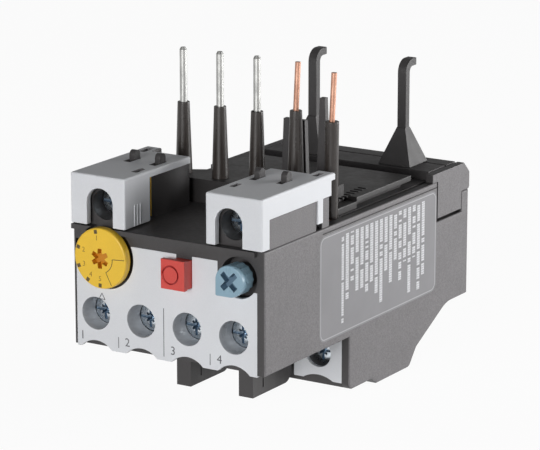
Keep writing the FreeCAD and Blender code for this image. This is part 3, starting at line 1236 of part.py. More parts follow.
def bimetals():
    for number, x in enumerate(MAIN_X, start=1):
        half = d.strip_thick / 2
        keep(block("bimetal_%d" % number, (x - half, x + half), (d.strip_front, STRIP_REAR),
                   (FLOOR, STRIP_TOP)), "bimetal_%d" % number)


def heaters():
    windings = []
    for number, x in enumerate(MAIN_X):
        inner = d.strip_thick / 2 + d.heater_gap
        outer = inner + d.heater_wall
        tube = block("winding_%d_outer" % number, (x - outer, x + outer), (WINDING_FRONT, WINDING_REAR),
                     (0, d.heater_top))
        core = block("winding_%d_inner" % number, (x - inner, x + inner),
                     (WINDING_FRONT + d.heater_wall, WINDING_REAR - d.heater_wall), (-FAR, d.heater_top + FAR))
        windings.append(minus("winding_%d" % number, tube, [core]))
    keep(union("heaters", windings), "heaters")


def busbars():
    upper = []
    lower = []
    rise = (d.heater_top, d.heater_top + d.bar_thick)
    jog = (d.pin_depth + d.bar_jog, d.pin_depth + d.bar_jog + d.bar_half * 2)
    end = WINDING_FRONT + d.heater_wall
    for number, (pin_x, x) in enumerate(zip(PIN_X, MAIN_X)):
        half = d.bar_half
        left, right = (pin_x, x) if pin_x.value < x.value else (x, pin_x)
        upper.append(union("upper_bar_%d" % number, [
            block("upper_%d_front" % number, (pin_x - half, pin_x + half), (d.pin_depth - half, jog[1]), rise),
            block("upper_%d_jog" % number, (left - half, right + half), jog, rise),
            block("upper_%d_rear" % number, (x - half, x + half), (jog[0], end), rise),
        ]))
        nut = block("lower_%d_nut" % number, (x - d.clamp_half, x + d.clamp_half), (MAIN_NUT, MAIN_NUT + d.nut_thick),
                    (FLOOR, 0))
        tail = block("lower_%d_tail" % number, (x - half, x + half), (MAIN_NUT, end), (-d.bar_thick, 0))
        hole = rod("lower_%d_hole" % number, "y", (x, -d.main_z), (MAIN_NUT - FAR, MAIN_NUT + d.nut_thick + FAR),
                   d.screw_shank_r + d.pin_gap)
        lower.append(minus("lower_bar_%d" % number, union("lower_%d_solid" % number, [nut, tail]), [hole]))
    keep(union("busbars_upper", upper), "busbars_upper")
    keep(union("busbars_lower", lower), "busbars_lower")


def trip_slider():
    rise = (SLIDER_BOTTOM, SLIDER_BOTTOM + d.slider_thick)
    front = d.strip_front - d.slider_edge
    bar = block("slider_bar", (-SLIDER_HALF, SLIDER_HALF), (front, STRIP_REAR + d.slider_edge), rise)
    tip = LEVER_X - d.lever_thick / 2 - d.run_gap
    arm = block("slider_arm", (tip - d.slider_thick, tip), (d.lever_front, front), rise)
    slots = []
    for number, x in enumerate(MAIN_X):
        half = d.strip_thick / 2
        slots.append(block("slider_slot_%d" % number, (x - half - d.slider_travel - d.run_gap, x + half + d.run_gap),
                           (d.strip_front - d.fit_gap, STRIP_REAR + d.fit_gap), (rise[0] - FAR, rise[1] + FAR)))
    keep(minus("trip_slider", union("slider_solid", [bar, arm]), slots), "trip_slider")


def trip_lever():
    half = d.lever_thick / 2
    y = (d.lever_front, d.lever_front + d.lever_depth)
    bar = block("lever_bar", (LEVER_X - half, LEVER_X + half), y, (d.lever_bottom, LEVER_TOP))
    hub = rod("lever_hub", "y", (LEVER_X, d.pivot_z), y, d.hub_r)
    bore = rod("lever_bore", "y", (LEVER_X, d.pivot_z), (y[0] - FAR, y[1] + FAR), d.pivot_r + d.pin_gap)
    keep(minus("trip_lever", union("lever_solid", [bar, hub]), [bore]), "trip_lever")


def contact_carrier():
    rear = d.carrier_front + d.carrier_depth
    rise = (d.carrier_bottom, d.carrier_bottom + d.carrier_thick)
    right = LEVER_X - d.lever_thick / 2 - d.run_gap
    keep(block("contact_carrier", (CARRIER_LEFT, right), (d.carrier_front, rear), rise), "contact_carrier")
    for label, x in (("bridge_nc", BRIDGE_NC_X), ("bridge_no", BRIDGE_NO_X)):
        half = d.bridge_thick / 2
        keep(block(label, (x - half, x + half), (d.carrier_front, rear), (d.bridge_bottom, d.carrier_bottom)), label)


def build():
    main_case()
    side_cover()
    label_plate()
    rear_block()
    hook("hook_left", -HOOK_PITCH / 2)
    hook("hook_right", HOOK_PITCH / 2)
    deck_plate()
    central_block()
    wire_guard()
    front_block()
    front_plate()
    main_plates()
    cap("cap_left", -1, -CAP_HOLE_LEFT)
    cap("cap_right", 1, CAP_HOLE_RIGHT)
    cap_insert("cap_insert_left", -1, -CAP_HOLE_LEFT)
    cap_insert("cap_insert_right", 1, CAP_HOLE_RIGHT)
    phase_pins()
    coil_wires()
    terminal_screws()
    clamp_washers()
    fixed_contacts()
    dial()
    dial_cam()
    test_button()
    spring("test_spring", (STEM[0] + STEM[1]) / 2, TEST_Z)
    reset_knob()
    spring("reset_spring", RESET_X, RESET_Z)
    bimetals()
    heaters()
    busbars()
    trip_slider()
    trip_lever()
    contact_carrier()
    doc.recompute()


def write_parts():
    broken = [item.Name for item in doc.Objects if "Invalid" in item.State or "Error" in item.State]
    broken += [item.Label for item in parts if item.Shape.isNull() or not item.Shape.isValid()]
    if broken:
        raise RuntimeError("these objects failed: " + ", ".join(broken))
    os.makedirs("parts", exist_ok=True)
    for item in parts:
        item.Shape.exportStep("parts/%s.step" % item.Label)
        box = item.Shape.BoundBox
        print("%-18s %2d solid %8.2f mm3  x %6.2f %6.2f  y %6.2f %6.2f  z %6.2f %6.2f" % (
            item.Label, len(item.Shape.Solids), item.Shape.Volume,
            box.XMin, box.XMax, box.YMin, box.YMax, box.ZMin, box.ZMax))


build()
write_parts()
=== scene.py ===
"""Looks of the plug-on thermal overload relay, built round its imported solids.

Every length is in metres, in the row frame: X across the front, Y from the front face to the back, Z up.
Each sub-assembly is a class that builds its meshes and dresses them; places come from the solids' boxes.
"""
from __future__ import annotations

import json
import logging
import math
from dataclasses import dataclass
from enum import Enum
from typing import Callable, Sequence

import bmesh
import bpy
from mathutils import Matrix, Vector

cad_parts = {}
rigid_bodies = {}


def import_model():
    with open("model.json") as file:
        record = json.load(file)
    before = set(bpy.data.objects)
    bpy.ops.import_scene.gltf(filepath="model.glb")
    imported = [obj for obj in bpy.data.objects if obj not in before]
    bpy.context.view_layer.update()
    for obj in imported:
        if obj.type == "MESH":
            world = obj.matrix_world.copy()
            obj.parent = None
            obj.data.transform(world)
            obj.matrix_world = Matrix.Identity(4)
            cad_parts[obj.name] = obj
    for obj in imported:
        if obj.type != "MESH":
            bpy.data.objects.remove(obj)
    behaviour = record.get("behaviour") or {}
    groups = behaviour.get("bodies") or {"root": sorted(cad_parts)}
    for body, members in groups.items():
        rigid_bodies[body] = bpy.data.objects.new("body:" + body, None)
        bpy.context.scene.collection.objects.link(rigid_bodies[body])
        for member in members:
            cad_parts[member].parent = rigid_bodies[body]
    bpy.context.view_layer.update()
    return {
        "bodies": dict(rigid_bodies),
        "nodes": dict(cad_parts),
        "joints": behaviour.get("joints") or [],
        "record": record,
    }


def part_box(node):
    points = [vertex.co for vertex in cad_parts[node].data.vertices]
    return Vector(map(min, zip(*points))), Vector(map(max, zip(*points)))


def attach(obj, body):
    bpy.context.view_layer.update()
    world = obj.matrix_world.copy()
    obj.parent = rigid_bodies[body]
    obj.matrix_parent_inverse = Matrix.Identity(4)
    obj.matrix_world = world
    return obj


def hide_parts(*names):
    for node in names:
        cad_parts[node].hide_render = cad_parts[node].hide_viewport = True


LOG = logging.getLogger("relay")
MM = 0.001
HOUSING_BODY = "relay"
ORIGIN = Vector((0.0, 0.0, 0.0))
LEFT, RIGHT, REAR = Vector((-1.0, 0.0, 0.0)), Vector((1.0, 0.0, 0.0)), Vector((0.0, 1.0, 0.0))
EVEN = (1.0, 1.0, 1.0)
OVERSHOOT = 1 * MM  # how far a cutter stands out of the face that it cuts
INK_DEPTH = 0.02 * MM  # how far printing stands out of its face
WELD = 0.001 * MM  # points nearer than this are one
TYPE_SIZE = 1.45  # type size over the height of a digit
FLAT_ANGLE = math.radians(0.6)  # faces that differ by less are made one
BEVEL_ANGLE = math.radians(40)  # sharper edges are broken
SMOOTH_ANGLE = math.radians(32)  # faces that meet at less than this shade as one
Colour = tuple[float, float, float]
Point = tuple[float, float, float]
Flat = tuple[float, float]


# ---------------------------------------------------------------- node helpers

class Tree:
    """A node tree that is being built."""

    def __init__(self, tree: bpy.types.NodeTree) -> None:
        """Keeps the tree."""
        self.tree = tree

    def feed(self, socket: bpy.types.NodeSocket, value: object) -> None:
        """Links an input or sets it.

        Args:
            socket: the input.
            value: a socket or Value to link, or a number, vector, colour or material to set.
        """
        if isinstance(value, Value):
            value = value.socket
        if isinstance(value, bpy.types.NodeSocket):
            self.tree.links.new(value, socket)
        elif socket.type == "RGBA" and len(value) == 3:
            socket.default_value = (*value, 1.0)
        else:
            socket.default_value = value

    def add(self, kind: str, inputs: dict[object, object], output: str | int = 0,
            **settings: object) -> bpy.types.NodeSocket:
        """Adds a node.

        Args:
            kind: the node's type.
            inputs: input name or number to a socket, a Value, a number or a tuple.
            output: the wanted output.
            settings: properties, which are set before the inputs.

        Returns:
            The output.
        """
        made = self.tree.nodes.new(kind)
        for key, value in settings.items():
            setattr(made, key, value)
        for key, value in inputs.items():
            self.feed(made.inputs[key], value)
        return made.outputs[output]


def maths(operation: str, flip: bool = False) -> Callable[..., Value]:
    """Makes a method of Value that adds one Math node.

    Args:
        operation: the Math node's operation.
        flip: puts the value after the method's argument.

    Returns:
        The method. Its arguments are the node's further inputs, and it returns the node's result.
    """

    def method(value: Value, *others: Value | float) -> Value:
        """Adds the node.

        Args:
            value: the value itself.
            others: the node's further inputs.

        Returns:
            The node's result.
        """
        inputs = [value, *others]
        if flip:
            inputs.reverse()
        return value.shader.node("ShaderNodeMath", dict(enumerate(inputs)), operation=operation)

    return method


class Value:
    """A shader socket that takes part in Python expressions, each of which adds its Math node."""

    __add__ = __radd__ = maths("ADD")
    __sub__ = maths("SUBTRACT")
    __rsub__ = maths("SUBTRACT", flip=True)
    __mul__ = __rmul__ = maths("MULTIPLY")
    __truediv__ = maths("DIVIDE")
    below = maths("LESS_THAN")
    above = maths("GREATER_THAN")
    modulo = maths("FLOORED_MODULO")
    steps = maths("FLOOR")
    size = maths("ABSOLUTE")
    at_least = maths("MAXIMUM")
    root = maths("SQRT")

    def __init__(self, shader: Shader, socket: bpy.types.NodeSocket) -> None:
        """Keeps the socket and the shader that owns it."""
        self.shader = shader
        self.socket = socket

    def between(self, low: float, high: float) -> Value:
        """1 between two numbers."""
        return self.above(low) * self.below(high)


class Shader(Tree):
    """One node material with a Principled surface."""

    def __init__(self, name: str) -> None:
        """Makes the material and its surface node.

        Args:
            name: the material's name.
        """
        self.material = bpy.data.materials.new(name)
        self.material.use_nodes = True
        super().__init__(self.material.node_tree)
        self.tree.nodes.clear()
        self.output = self.tree.nodes.new("ShaderNodeOutputMaterial")
        self.surface = self.tree.nodes.new("ShaderNodeBsdfPrincipled")
        self.tree.links.new(self.surface.outputs[0], self.output.inputs["Surface"])
        self.place = self.node("ShaderNodeTexCoord", {}, "Object")

    def node(self, kind: str, inputs: dict[object, object], output: str | int = 0,
             **settings: object) -> Value:
        """Adds a node as add does, and returns its output as a Value."""
        return Value(self, self.add(kind, inputs, output, **settings))

    def dress(self, **inputs: object) -> None:
        """Feeds the surface's sockets.

        Args:
            inputs: name of a socket, with underscores for blanks, to what feeds it.
        """
        for key, value in inputs.items():
            self.feed(self.surface.inputs[key.replace("_", " ")], value)

    def noise(self, scale: float, detail: float = 2.0, stretch: Point = EVEN) -> Value:
        """Noise on the object's own coordinates.

        Args:
            scale: waves per metre.
            detail: octaves.
            stretch: how much each axis is compressed.

        Returns:
            The noise, about 0.5.
        """
        place = self.place
        if stretch != EVEN:
            place = self.node("ShaderNodeMapping", {"Vector": self.place, "Scale": stretch})
        return self.node("ShaderNodeTexNoise", {"Vector": place, "Scale": scale, "Detail": detail}, "Fac")

    def axes(self) -> list[Value]:
        """The object's coordinates as three values."""
        return [self.node("ShaderNodeSeparateXYZ", {0: self.place}, axis) for axis in range(3)]

    def blend(self, share: Value | float, first: object, second: object) -> Value:
        """Mixes two colours by a share."""
        return self.node("ShaderNodeMix", {0: share, 6: first, 7: second}, 2, data_type="RGBA")

    def level(self, value: Value, low: float, high: float, to_low: float, to_high: float) -> Value:
        """Maps a value from one range to another, clamped."""
        return self.node("ShaderNodeMapRange", {0: value, 1: low, 2: high, 3: to_low, 4: to_high})

    def mottled(self, value: Value, colour: Colour, dark: float, bright: float, low: float = 0.3,
                high: float = 0.7) -> Value:
        """A colour that goes from dark to bright as a value goes from low to high.

        Args:
            value: what it follows.
            colour: the mean colour.
            dark: factor on the colour at low.
            bright: factor on the colour at high.
            low: value of the dark end.
            high: value of the bright end.

        Returns:
            The colour.
        """
        share = self.level(value, low, high, 0.0, 1.0)
        return self.blend(share, tinted(colour, dark), tinted(colour, bright))

    def bump(self, height: Value, depth: float) -> Value:
        """Turns a height of 0 to 1 into a normal; depth is in metres."""
        return self.node("ShaderNodeBump", {"Height": height, "Distance": depth, "Strength": 1.0})


def tinted(colour: Colour, factor: float) -> Colour:
    """The colour, lighter or darker by a factor."""
    return tuple(min(1.0, channel * factor) for channel in colour)


# ---------------------------------------------------------------- finishes

@dataclass(frozen=True)
class Look:
    """What every finish has.

    Args:
        name: the material's name.
        slot: the record's material slot; not used.
        colour: base colour.
    """

    name: str
    slot: str
    colour: Colour

    def build(self, shader: Shader) -> None:
        """Adds the finish's nodes to its shader; each finish has its own."""
        raise NotImplementedError

    def material(self) -> bpy.types.Material:
        """Builds the material.

        Returns:
            The material.
        """
        shader = Shader(self.name)
        self.build(shader)
        return shader.material


@dataclass(frozen=True)
class Moulding(Look):
    """Injection-moulded plastic with a spark-eroded grain, faint flow marks and rubbed patches.

    Args:
        roughness: mean roughness.
        grain: waves of the grain per metre.
        depth: depth of the grain in metres.
        mottle: how far the colour wanders, as a share.
        speckle: how far single grains differ in colour, as a share.
    """

    roughness: float
    grain: float = 5200.0
    depth: float = 0.00001
    mottle: float = 0.10
    speckle: float = 0.10

    def build(self, shader: Shader) -> None:
        """Adds the grain, the flow marks and the patches.

        Args:
            shader: the finish's shader.
        """
        cloud = shader.noise(scale=130.0, detail=4.0)
        grain = shader.noise(scale=self.grain, detail=3.0)
        drag = shader.noise(scale=900.0, stretch=(1.0, 1.0, 0.12))
        wide = shader.mottled(cloud, self.colour, 1 - self.mottle, 1 + self.mottle)
        fleck = shader.level(grain, 0.35, 0.65, 1 - self.speckle, 1 + self.speckle)
        colour = shader.node("ShaderNodeVectorMath", {0: wide, "Scale": fleck}, operation="SCALE")
        worn = cloud + (drag - 0.5) * 0.6
        rough = shader.level(worn, 0.25, 0.75, self.roughness - 0.07, self.roughness + 0.09)
        shader.dress(Base_Color=colour, Roughness=rough, Normal=shader.bump(grain + drag * 0.25, self.depth))


@dataclass(frozen=True)
class Metal(Look):
    """Drawn, rolled or plated metal with fine streaks and dull patches.

    Args:
        shade: colour of the dull patches.
        roughness: mean roughness.
        streak: how much each axis is compressed, so that streaks run along the smallest.
        depth: depth of the streaks in metres.
    """

    shade: Colour
    roughness: float
    streak: Point = (1.0, 1.0, 0.04)
    depth: float = 0.000006

    def build(self, shader: Shader) -> None:
        """Adds the streaks and the patches.

        Args:
            shader: the finish's shader.
        """
        patch = shader.noise(scale=420.0, detail=4.0)
        line = shader.noise(scale=5200.0, stretch=self.streak)
        dull = shader.level(patch + (line - 0.5) * 0.5, 0.38, 0.66, 0.0, 1.0)
        rough = shader.level(patch + (line - 0.5), 0.3, 0.7, self.roughness - 0.08, self.roughness + 0.14)
        shader.dress(Base_Color=shader.blend(dull, self.colour, self.shade), Roughness=rough, Metallic=1.0,
                     Normal=shader.bump(line, self.depth))


@dataclass(frozen=True)
class Print(Look):
    """Printing ink that sits on a moulding."""

    def build(self, shader: Shader) -> None:
        """Adds the worn ink.

        Args:
            shader: the finish's shader.
        """
        wear = shader.noise(scale=2600.0, detail=3.0)
        shader.dress(Base_Color=shader.mottled(wear, self.colour, dark=0.8, bright=1.35),
                     Roughness=shader.level(wear, 0.3, 0.7, 0.45, 0.65))


@dataclass(frozen=True)
class WoundTape(Look):
    """Insulated heater winding: glass-fibre covered turns stacked along Z.

    Args:
        turn: height of one turn.
    """

    turn: float = 1.1 * MM

    def build(self, shader: Shader) -> None:
        """Adds the turns and the fibres, with painted shade in the grooves between turns.

        Args:
            shader: the finish's shader.
        """
        z = shader.axes()[2]
        fibre = shader.noise(scale=4200.0, detail=3.0, stretch=(1.0, 1.0, 3.0))
        crown = 1 - ((z / self.turn).modulo(1.0) * 2 - 1).size()
        cover = crown + (fibre - 0.5) * 0.4
        # the colour darkens to 0.45 in the grooves between turns: painted shade in the creases
        colour = shader.mottled(cover, self.colour, dark=0.45, bright=1.0, low=0.1, high=0.6)
        shader.dress(Base_Color=colour, Roughness=0.85, Normal=shader.bump(crown + fibre * 0.4, 0.0002))


@dataclass(frozen=True)
class RatingFilm(Look):
    """Bare rating film: satin grey with rows of short pale strokes that hold no letters, in a thin outline.

    Args:
        ink: colour of the strokes.
        row_pitch: distance between rows along Y.
        row_height: height of a row.
        dash: pitch of the strokes along Z.
        dash_share: share of that pitch that a stroke takes.
        missing: share of the strokes that are left out.
        strength: how strongly the strokes cover the film.
        front, rear, top, foot: bare margins of the film.
        ragged: how much higher than the foot margin a row may end.
        corner: radius of the outline's corners.
        rim: nearest and farthest distance of the outline from the film's edge.
        rim_strength: how strongly the outline covers the film.
    """

    ink: Colour
    row_pitch: float = 1.95 * MM
    row_height: float = 1.2 * MM
    dash: float = 0.5 * MM
    dash_share: float = 0.84
    missing: float = 0.12
    strength: float = 0.8
    front: float = 8.5 * MM
    rear: float = 4.5 * MM
    top: float = 1.3 * MM
    foot: float = 2.0 * MM
    ragged: float = 9.0 * MM
    corner: float = 2.0 * MM
    rim: Flat = (0.336 * MM, 0.532 * MM)
    rim_strength: float = 0.3

    def build(self, shader: Shader) -> None:
        """Adds the strokes, the outline and the satin surface.

        Args:
            shader: the finish's shader.
        """
        low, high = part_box("label_plate")
        _, y, z = shader.axes()
        cloud = shader.noise(scale=160.0, detail=4.0)
        grain = shader.noise(scale=4200.0)
        rows, dashes = (y - low.y) / self.row_pitch, z / self.dash
        row = rows.steps()
        seed = shader.node("ShaderNodeCombineXYZ", {0: row, 1: dashes.steps()})
        luck = shader.node("ShaderNodeTexWhiteNoise", {"Vector": seed}, "Value", noise_dimensions="2D")
        row_luck = shader.node("ShaderNodeTexWhiteNoise", {"W": row}, "Value", noise_dimensions="1D")
        gap = (self.row_pitch - self.row_height) / 2
        line = (rows.modulo(1.0) * self.row_pitch).between(gap, self.row_pitch - gap)
        stroke_mask = line * dashes.modulo(1.0).below(self.dash_share) * luck.above(self.missing)
        field = y.between(low.y + self.front, high.y - self.rear) * z.below(high.z - self.top)
        reach = z.above(low.z + self.foot + row_luck * self.ragged)
        worn = shader.level(grain, 0.3, 0.7, 0.55, 1.0)
        strokes = stroke_mask * field * reach * worn * self.strength
        past = [((axis - (near + far) / 2).size() - ((far - near) / 2 - self.corner)).at_least(0.0)
                for axis, near, far in ((y, low.y, high.y), (z, low.z, high.z))]
        away = (past[0] * past[0] + past[1] * past[1]).root()
        outline = away.between(self.corner - self.rim[1], self.corner - self.rim[0]) * self.rim_strength
        mask = strokes.at_least(outline)
        film = shader.mottled(cloud, self.colour, dark=0.93, bright=1.07)
        shader.dress(Base_Color=shader.blend(mask, film, self.ink), Normal=shader.bump(grain, 0.000004),
                     Roughness=shader.level(cloud + mask * 0.2, 0.3, 0.8, 0.42, 0.56))


FINE = {"grain": 4800.0, "depth": 0.000004, "mottle": 0.04, "speckle": 0.02}  # the small coloured pieces


class Finish(Enum):
    """Every finish of the relay."""

    BLACK = Moulding("black_moulding", "black_plastic", (0.044, 0.041, 0.042), 0.46)
    # Darker, glossier copy of the black moulding: the lower roughness is real gloss, and the darker colour is
    # painted shade on the up-facing deck and the recessed central block.
    DECK = Moulding("deck_moulding_painted_shade", "black_plastic", (0.026, 0.024, 0.024), 0.42, grain=4600.0)
    # Grey copy of the black moulding with its grain: on the dark pieces' sides and back its lighter colour is
    # painted sheen, and in the caps' roof pits its darker colour is painted shade.
    SHELL = Moulding("grey_moulding_painted_sheen_and_shade", "grey_plastic", (0.148, 0.141, 0.146), 0.50,
                     grain=4200.0, depth=0.000016, mottle=0.08, speckle=0.2)
    LIGHT = Moulding("light_moulding", "white_plastic", (0.74, 0.755, 0.785), 0.42,
                     depth=0.000005, mottle=0.02, speckle=0.015)
    # The light plate's own plastic, darkened as painted shade on the walls inside the screw wells.
    WELL = Moulding("well_wall_painted_shade", "white_plastic", (0.46, 0.475, 0.50), 0.30, depth=0.000005, speckle=0.02)
    SLEEVE = Moulding("sleeve_moulding", "sleeve_plastic", (0.034, 0.028, 0.025), 0.29,
                      grain=4000.0, depth=0.000004)
    YELLOW = Moulding("dial_moulding", "yellow_plastic", (0.90, 0.57, 0.045), 0.34,
                      **{**FINE, "mottle": 0.03})
    # Darker copy of the dial's yellow plastic: painted shade in the star recess.
    AMBER = Moulding("dial_recess", "yellow_plastic", (0.60, 0.235, 0.008), 0.45, **FINE)
    RED = Moulding("button_moulding", "red_plastic", (0.66, 0.07, 0.055), 0.32, **FINE)
    # Darker copy of the button's red plastic: painted shade in the ring groove.
    CARMINE = Moulding("button_groove_painted_shade", "red_plastic", (0.36, 0.012, 0.012), 0.4, **FINE)
    BLUE = Moulding("knob_moulding", "blue_plastic", (0.27, 0.42, 0.52), 0.34, **FINE)
    # Darker copy of the knob's blue plastic: painted shade in the cross recess.
    NAVY = Moulding("knob_recess_painted_shade", "blue_plastic", (0.085, 0.155, 0.225), 0.40, **FINE)
    NATURAL = Moulding("natural_moulding", "natural_plastic", (0.62, 0.57, 0.47), 0.45,
                       grain=4200.0, depth=0.000006, mottle=0.05)
    TINNED = Metal("tinned_bar", "tinned_metal", (0.50, 0.50, 0.485), (0.42, 0.42, 0.41), 0.42,
                   streak=(1.0, 1.0, 0.03), depth=0.0000003)
    COPPER = Metal("bare_copper", "copper", (0.60, 0.345, 0.25), (0.48, 0.26, 0.185), 0.42)
    ZINC = Metal("zinc_plate", "zinc_steel", (0.78, 0.83, 0.87), (0.60, 0.67, 0.73), 0.24, EVEN)
    # Darker copy of the zinc plate: painted shade in the screws' slots and crosses.
    RECESS = Metal("driver_recess_painted_shade", "zinc_steel", (0.34, 0.43, 0.52), (0.20, 0.27, 0.35), 0.34, EVEN)
    BRASS = Metal("contact_brass", "contact_brass", (0.70, 0.53, 0.26), (0.55, 0.40, 0.18), 0.32,
                  streak=(1.0, 0.05, 1.0))
    SPRING = Metal("spring_wire", "spring_steel", (0.55, 0.55, 0.56), (0.38, 0.38, 0.38), 0.30,
                   streak=(1.0, 0.2, 1.0))
    BIMETAL = Metal("bimetal_strip", "bimetal", (0.56, 0.52, 0.46), (0.42, 0.36, 0.28), 0.36)
    WINDING = WoundTape("heater_winding", "heater_tape", (0.60, 0.52, 0.40))
    FILM = RatingFilm("rating_film", "label_film", (0.215, 0.212, 0.222), (0.84, 0.85, 0.88))
    INK = Print("grey_ink", "white_plastic", (0.10, 0.10, 0.11))
    DIAL_INK = Print("dial_ink", "yellow_plastic", (0.10, 0.065, 0.02))
    DIAL_FIGURES = Print("dial_figures", "yellow_plastic", (0.30, 0.17, 0.02))


# ---------------------------------------------------------------- mesh helpers

@dataclass(frozen=True)
class Box:
    """A CAD node's box."""

    low: Vector
    high: Vector

    @staticmethod
    def of(node: str) -> Box:
        """The box of a node."""
        return Box(*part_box(node))

    @property
    def mid(self) -> Vector:
        """The middle."""
        return (self.low + self.high) / 2

    @property
    def radius(self) -> float:
        """Half the width, which is the radius of a round piece about an axis along Y."""
        return (self.high.x - self.low.x) / 2


def linked(name: str, data: bpy.types.ID) -> bpy.types.Object:
    """Makes an object in the scene.

    Args:
        name: its name.
        data: what it holds.

    Returns:
        The object.
    """
    made = bpy.data.objects.new(name, data)
    bpy.context.scene.collection.objects.link(made)
    return made


def evaluated(data: bpy.types.ID, kind: str = "", *changes: dict[str, object]) -> bpy.types.Mesh:
    """The mesh of a temporary object after its modifiers.

    Args:
        data: a mesh or a curve.
        kind: the modifiers' type.
        changes: for each modifier its properties, and the inputs of its node tree by identifier.

    Returns:
        A new mesh.
    """
    carrier = linked("carrier", data)
    for settings in changes:
        modifier = carrier.modifiers.new(kind.lower(), kind)
        for key, value in settings.items():
            if hasattr(modifier, key):
                setattr(modifier, key, value)
            else:
                modifier[key] = value
    result = bpy.data.meshes.new_from_object(carrier.evaluated_get(bpy.context.evaluated_depsgraph_get()))
    bpy.data.objects.remove(carrier)
    return result


def meshed(work: bmesh.types.BMesh, outwards: bool = True) -> bpy.types.Mesh:
    """Ends the work on a mesh.

    Args:
        work: the mesh data, which is freed.
        outwards: turns the faces to point outwards.

    Returns:
        A new mesh.
    """
    if outwards:
        bmesh.ops.recalc_face_normals(work, faces=work.faces)
    mesh = bpy.data.meshes.new("made")
    work.to_mesh(mesh)
    work.free()
    return mesh


def merged(source: bpy.types.Mesh) -> bpy.types.Mesh:
    """A node's mesh with its triangles joined and its flat faces made whole.

    Args:
        source: the node's mesh, which stays as it is.

    Returns:
        A new mesh.
    """
    work = bmesh.new()
    work.from_mesh(source)
    bmesh.ops.remove_doubles(work, verts=work.verts, dist=WELD)
    bmesh.ops.dissolve_limit(work, angle_limit=FLAT_ANGLE, verts=work.verts, edges=work.edges)
    return meshed(work, outwards=False)


def soften_shading(mesh: bpy.types.Mesh) -> None:
    """Shades a mesh smooth, with its sharp edges kept sharp.

    Args:
        mesh: the mesh, which is changed.
    """
    work = bmesh.new()
    work.from_mesh(mesh)
    for face in work.faces:
        face.smooth = True
    for edge in work.edges:
        edge.smooth = len(edge.link_faces) == 2 and edge.calc_face_angle(0.0) < SMOOTH_ANGLE
    work.to_mesh(mesh)
    work.free()


def bevelled(mesh: bpy.types.Mesh, width: float, segments: int = 2) -> bpy.types.Mesh:
    """A solid with its sharp edges rounded.

    Args:
        mesh: the solid.
        width: the bevel's width.
        segments: faces across the bevel.

    Returns:
        A new mesh.
    """
    return evaluated(mesh, "BEVEL", {"width": width, "segments": segments, "limit_method": "ANGLE",
                                     "angle_limit": BEVEL_ANGLE, "use_clamp_overlap": True,
                                     "miter_outer": "MITER_ARC"})


def levelled(mesh: bpy.types.Mesh) -> bpy.types.Mesh:
    """The mesh with normals that follow its large faces, so that they look flat beside round edges."""
    return evaluated(mesh, "WEIGHTED_NORMAL", {"keep_sharp": True, "weight": 90})


def carved(mesh: bpy.types.Mesh, cutters: Sequence[bpy.types.Mesh]) -> bpy.types.Mesh:
    """A solid less some others.

    Args:
        mesh: the solid.
        cutters: what is taken away; the cut faces have the cutter's material.

    Returns:
        A new mesh.
    """
    tools = [linked("cutter", cutter) for cutter in cutters]
    result = evaluated(mesh, "BOOLEAN", *({"operation": "DIFFERENCE", "solver": "EXACT",
                                           "material_mode": "TRANSFER", "object": tool} for tool in tools))
    for tool in tools:
        bpy.data.objects.remove(tool)
    return result


def polar(centre: Vector, radius: float, angle: float) -> Flat:
    """The point (x, z) at a radius round a centre; the angle runs from +X towards +Z."""
    return centre.x + radius * math.cos(angle), centre.z + radius * math.sin(angle)


def lathe(profile: Sequence[Flat], centre: Vector, steps: int) -> bpy.types.Mesh:
    """A closed solid turned about an axis along Y.

    Args:
        profile: (radius, place along Y) from one pole to the other, or round a closed loop.
        centre: a point on the axis; only its X and Z count.
        steps: sides of the solid.

    Returns:
        The mesh.
    """
    work = bmesh.new()
    rings = []
    for radius, along in profile:
        flat = [polar(centre, radius, math.tau * step / steps) for step in range(steps if radius else 1)]
        rings.append([work.verts.new((x, along, z)) for x, z in flat])
    for first, second in zip(rings, rings[1:]):
        for step in range(steps):
            corners = [first[step % len(first)], first[(step + 1) % len(first)],
                       second[(step + 1) % len(second)], second[step % len(second)]]
            unique = list(dict.fromkeys(corners))
            if len(unique) > 2:
                work.faces.new(unique)
    return meshed(work)


def slab(outline: Sequence[Flat], front: float, rear: float, taper: float = 1.0,
         centre: Vector = ORIGIN) -> bpy.types.Mesh:
    """A plate whose outline in X and Z runs from Y front to rear.

    Args:
        outline: the corners at the front.
        front: Y of the front.
        rear: Y of the rear.
        taper: size of the rear outline as a share of the front one.
        centre: what the outline shrinks towards.

    Returns:
        The mesh.
    """
    work = bmesh.new()
    near = [work.verts.new((x, front, z)) for x, z in outline]
    far = [work.verts.new((centre.x + (x - centre.x) * taper, rear, centre.z + (z - centre.z) * taper))
           for x, z in outline]
    work.faces.new(near)
    work.faces.new(far[::-1])
    for step in range(len(outline)):
        follow = (step + 1) % len(outline)
        work.faces.new([near[follow], near[step], far[step], far[follow]])
    return meshed(work)


def cuboid(low: Sequence[float], high: Sequence[float]) -> bpy.types.Mesh:
    """A box between two corners."""
    return slab([(low[0], low[2]), (high[0], low[2]), (high[0], high[2]), (low[0], high[2])], low[1], high[1])


def joined(meshes: Sequence[bpy.types.Mesh]) -> bpy.types.Mesh:
    """Several meshes as one.

    Args:
        meshes: the meshes, each with its materials.

    Returns:
        A new mesh with all the materials.
    """
    whole = bmesh.new()
    materials: list[bpy.types.Material] = []
    for mesh in meshes:
        shift = {}
        for index, material in enumerate(mesh.materials):
            if material not in materials:
                materials.append(material)
            shift[index] = materials.index(material)
        first = len(whole.faces)
        whole.from_mesh(mesh)
        whole.faces.ensure_lookup_table()
        for face in whole.faces[first:]:
            face.material_index = shift[face.material_index]
    result = meshed(whole, outwards=False)
    for material in materials:
        result.materials.append(material)
    return result


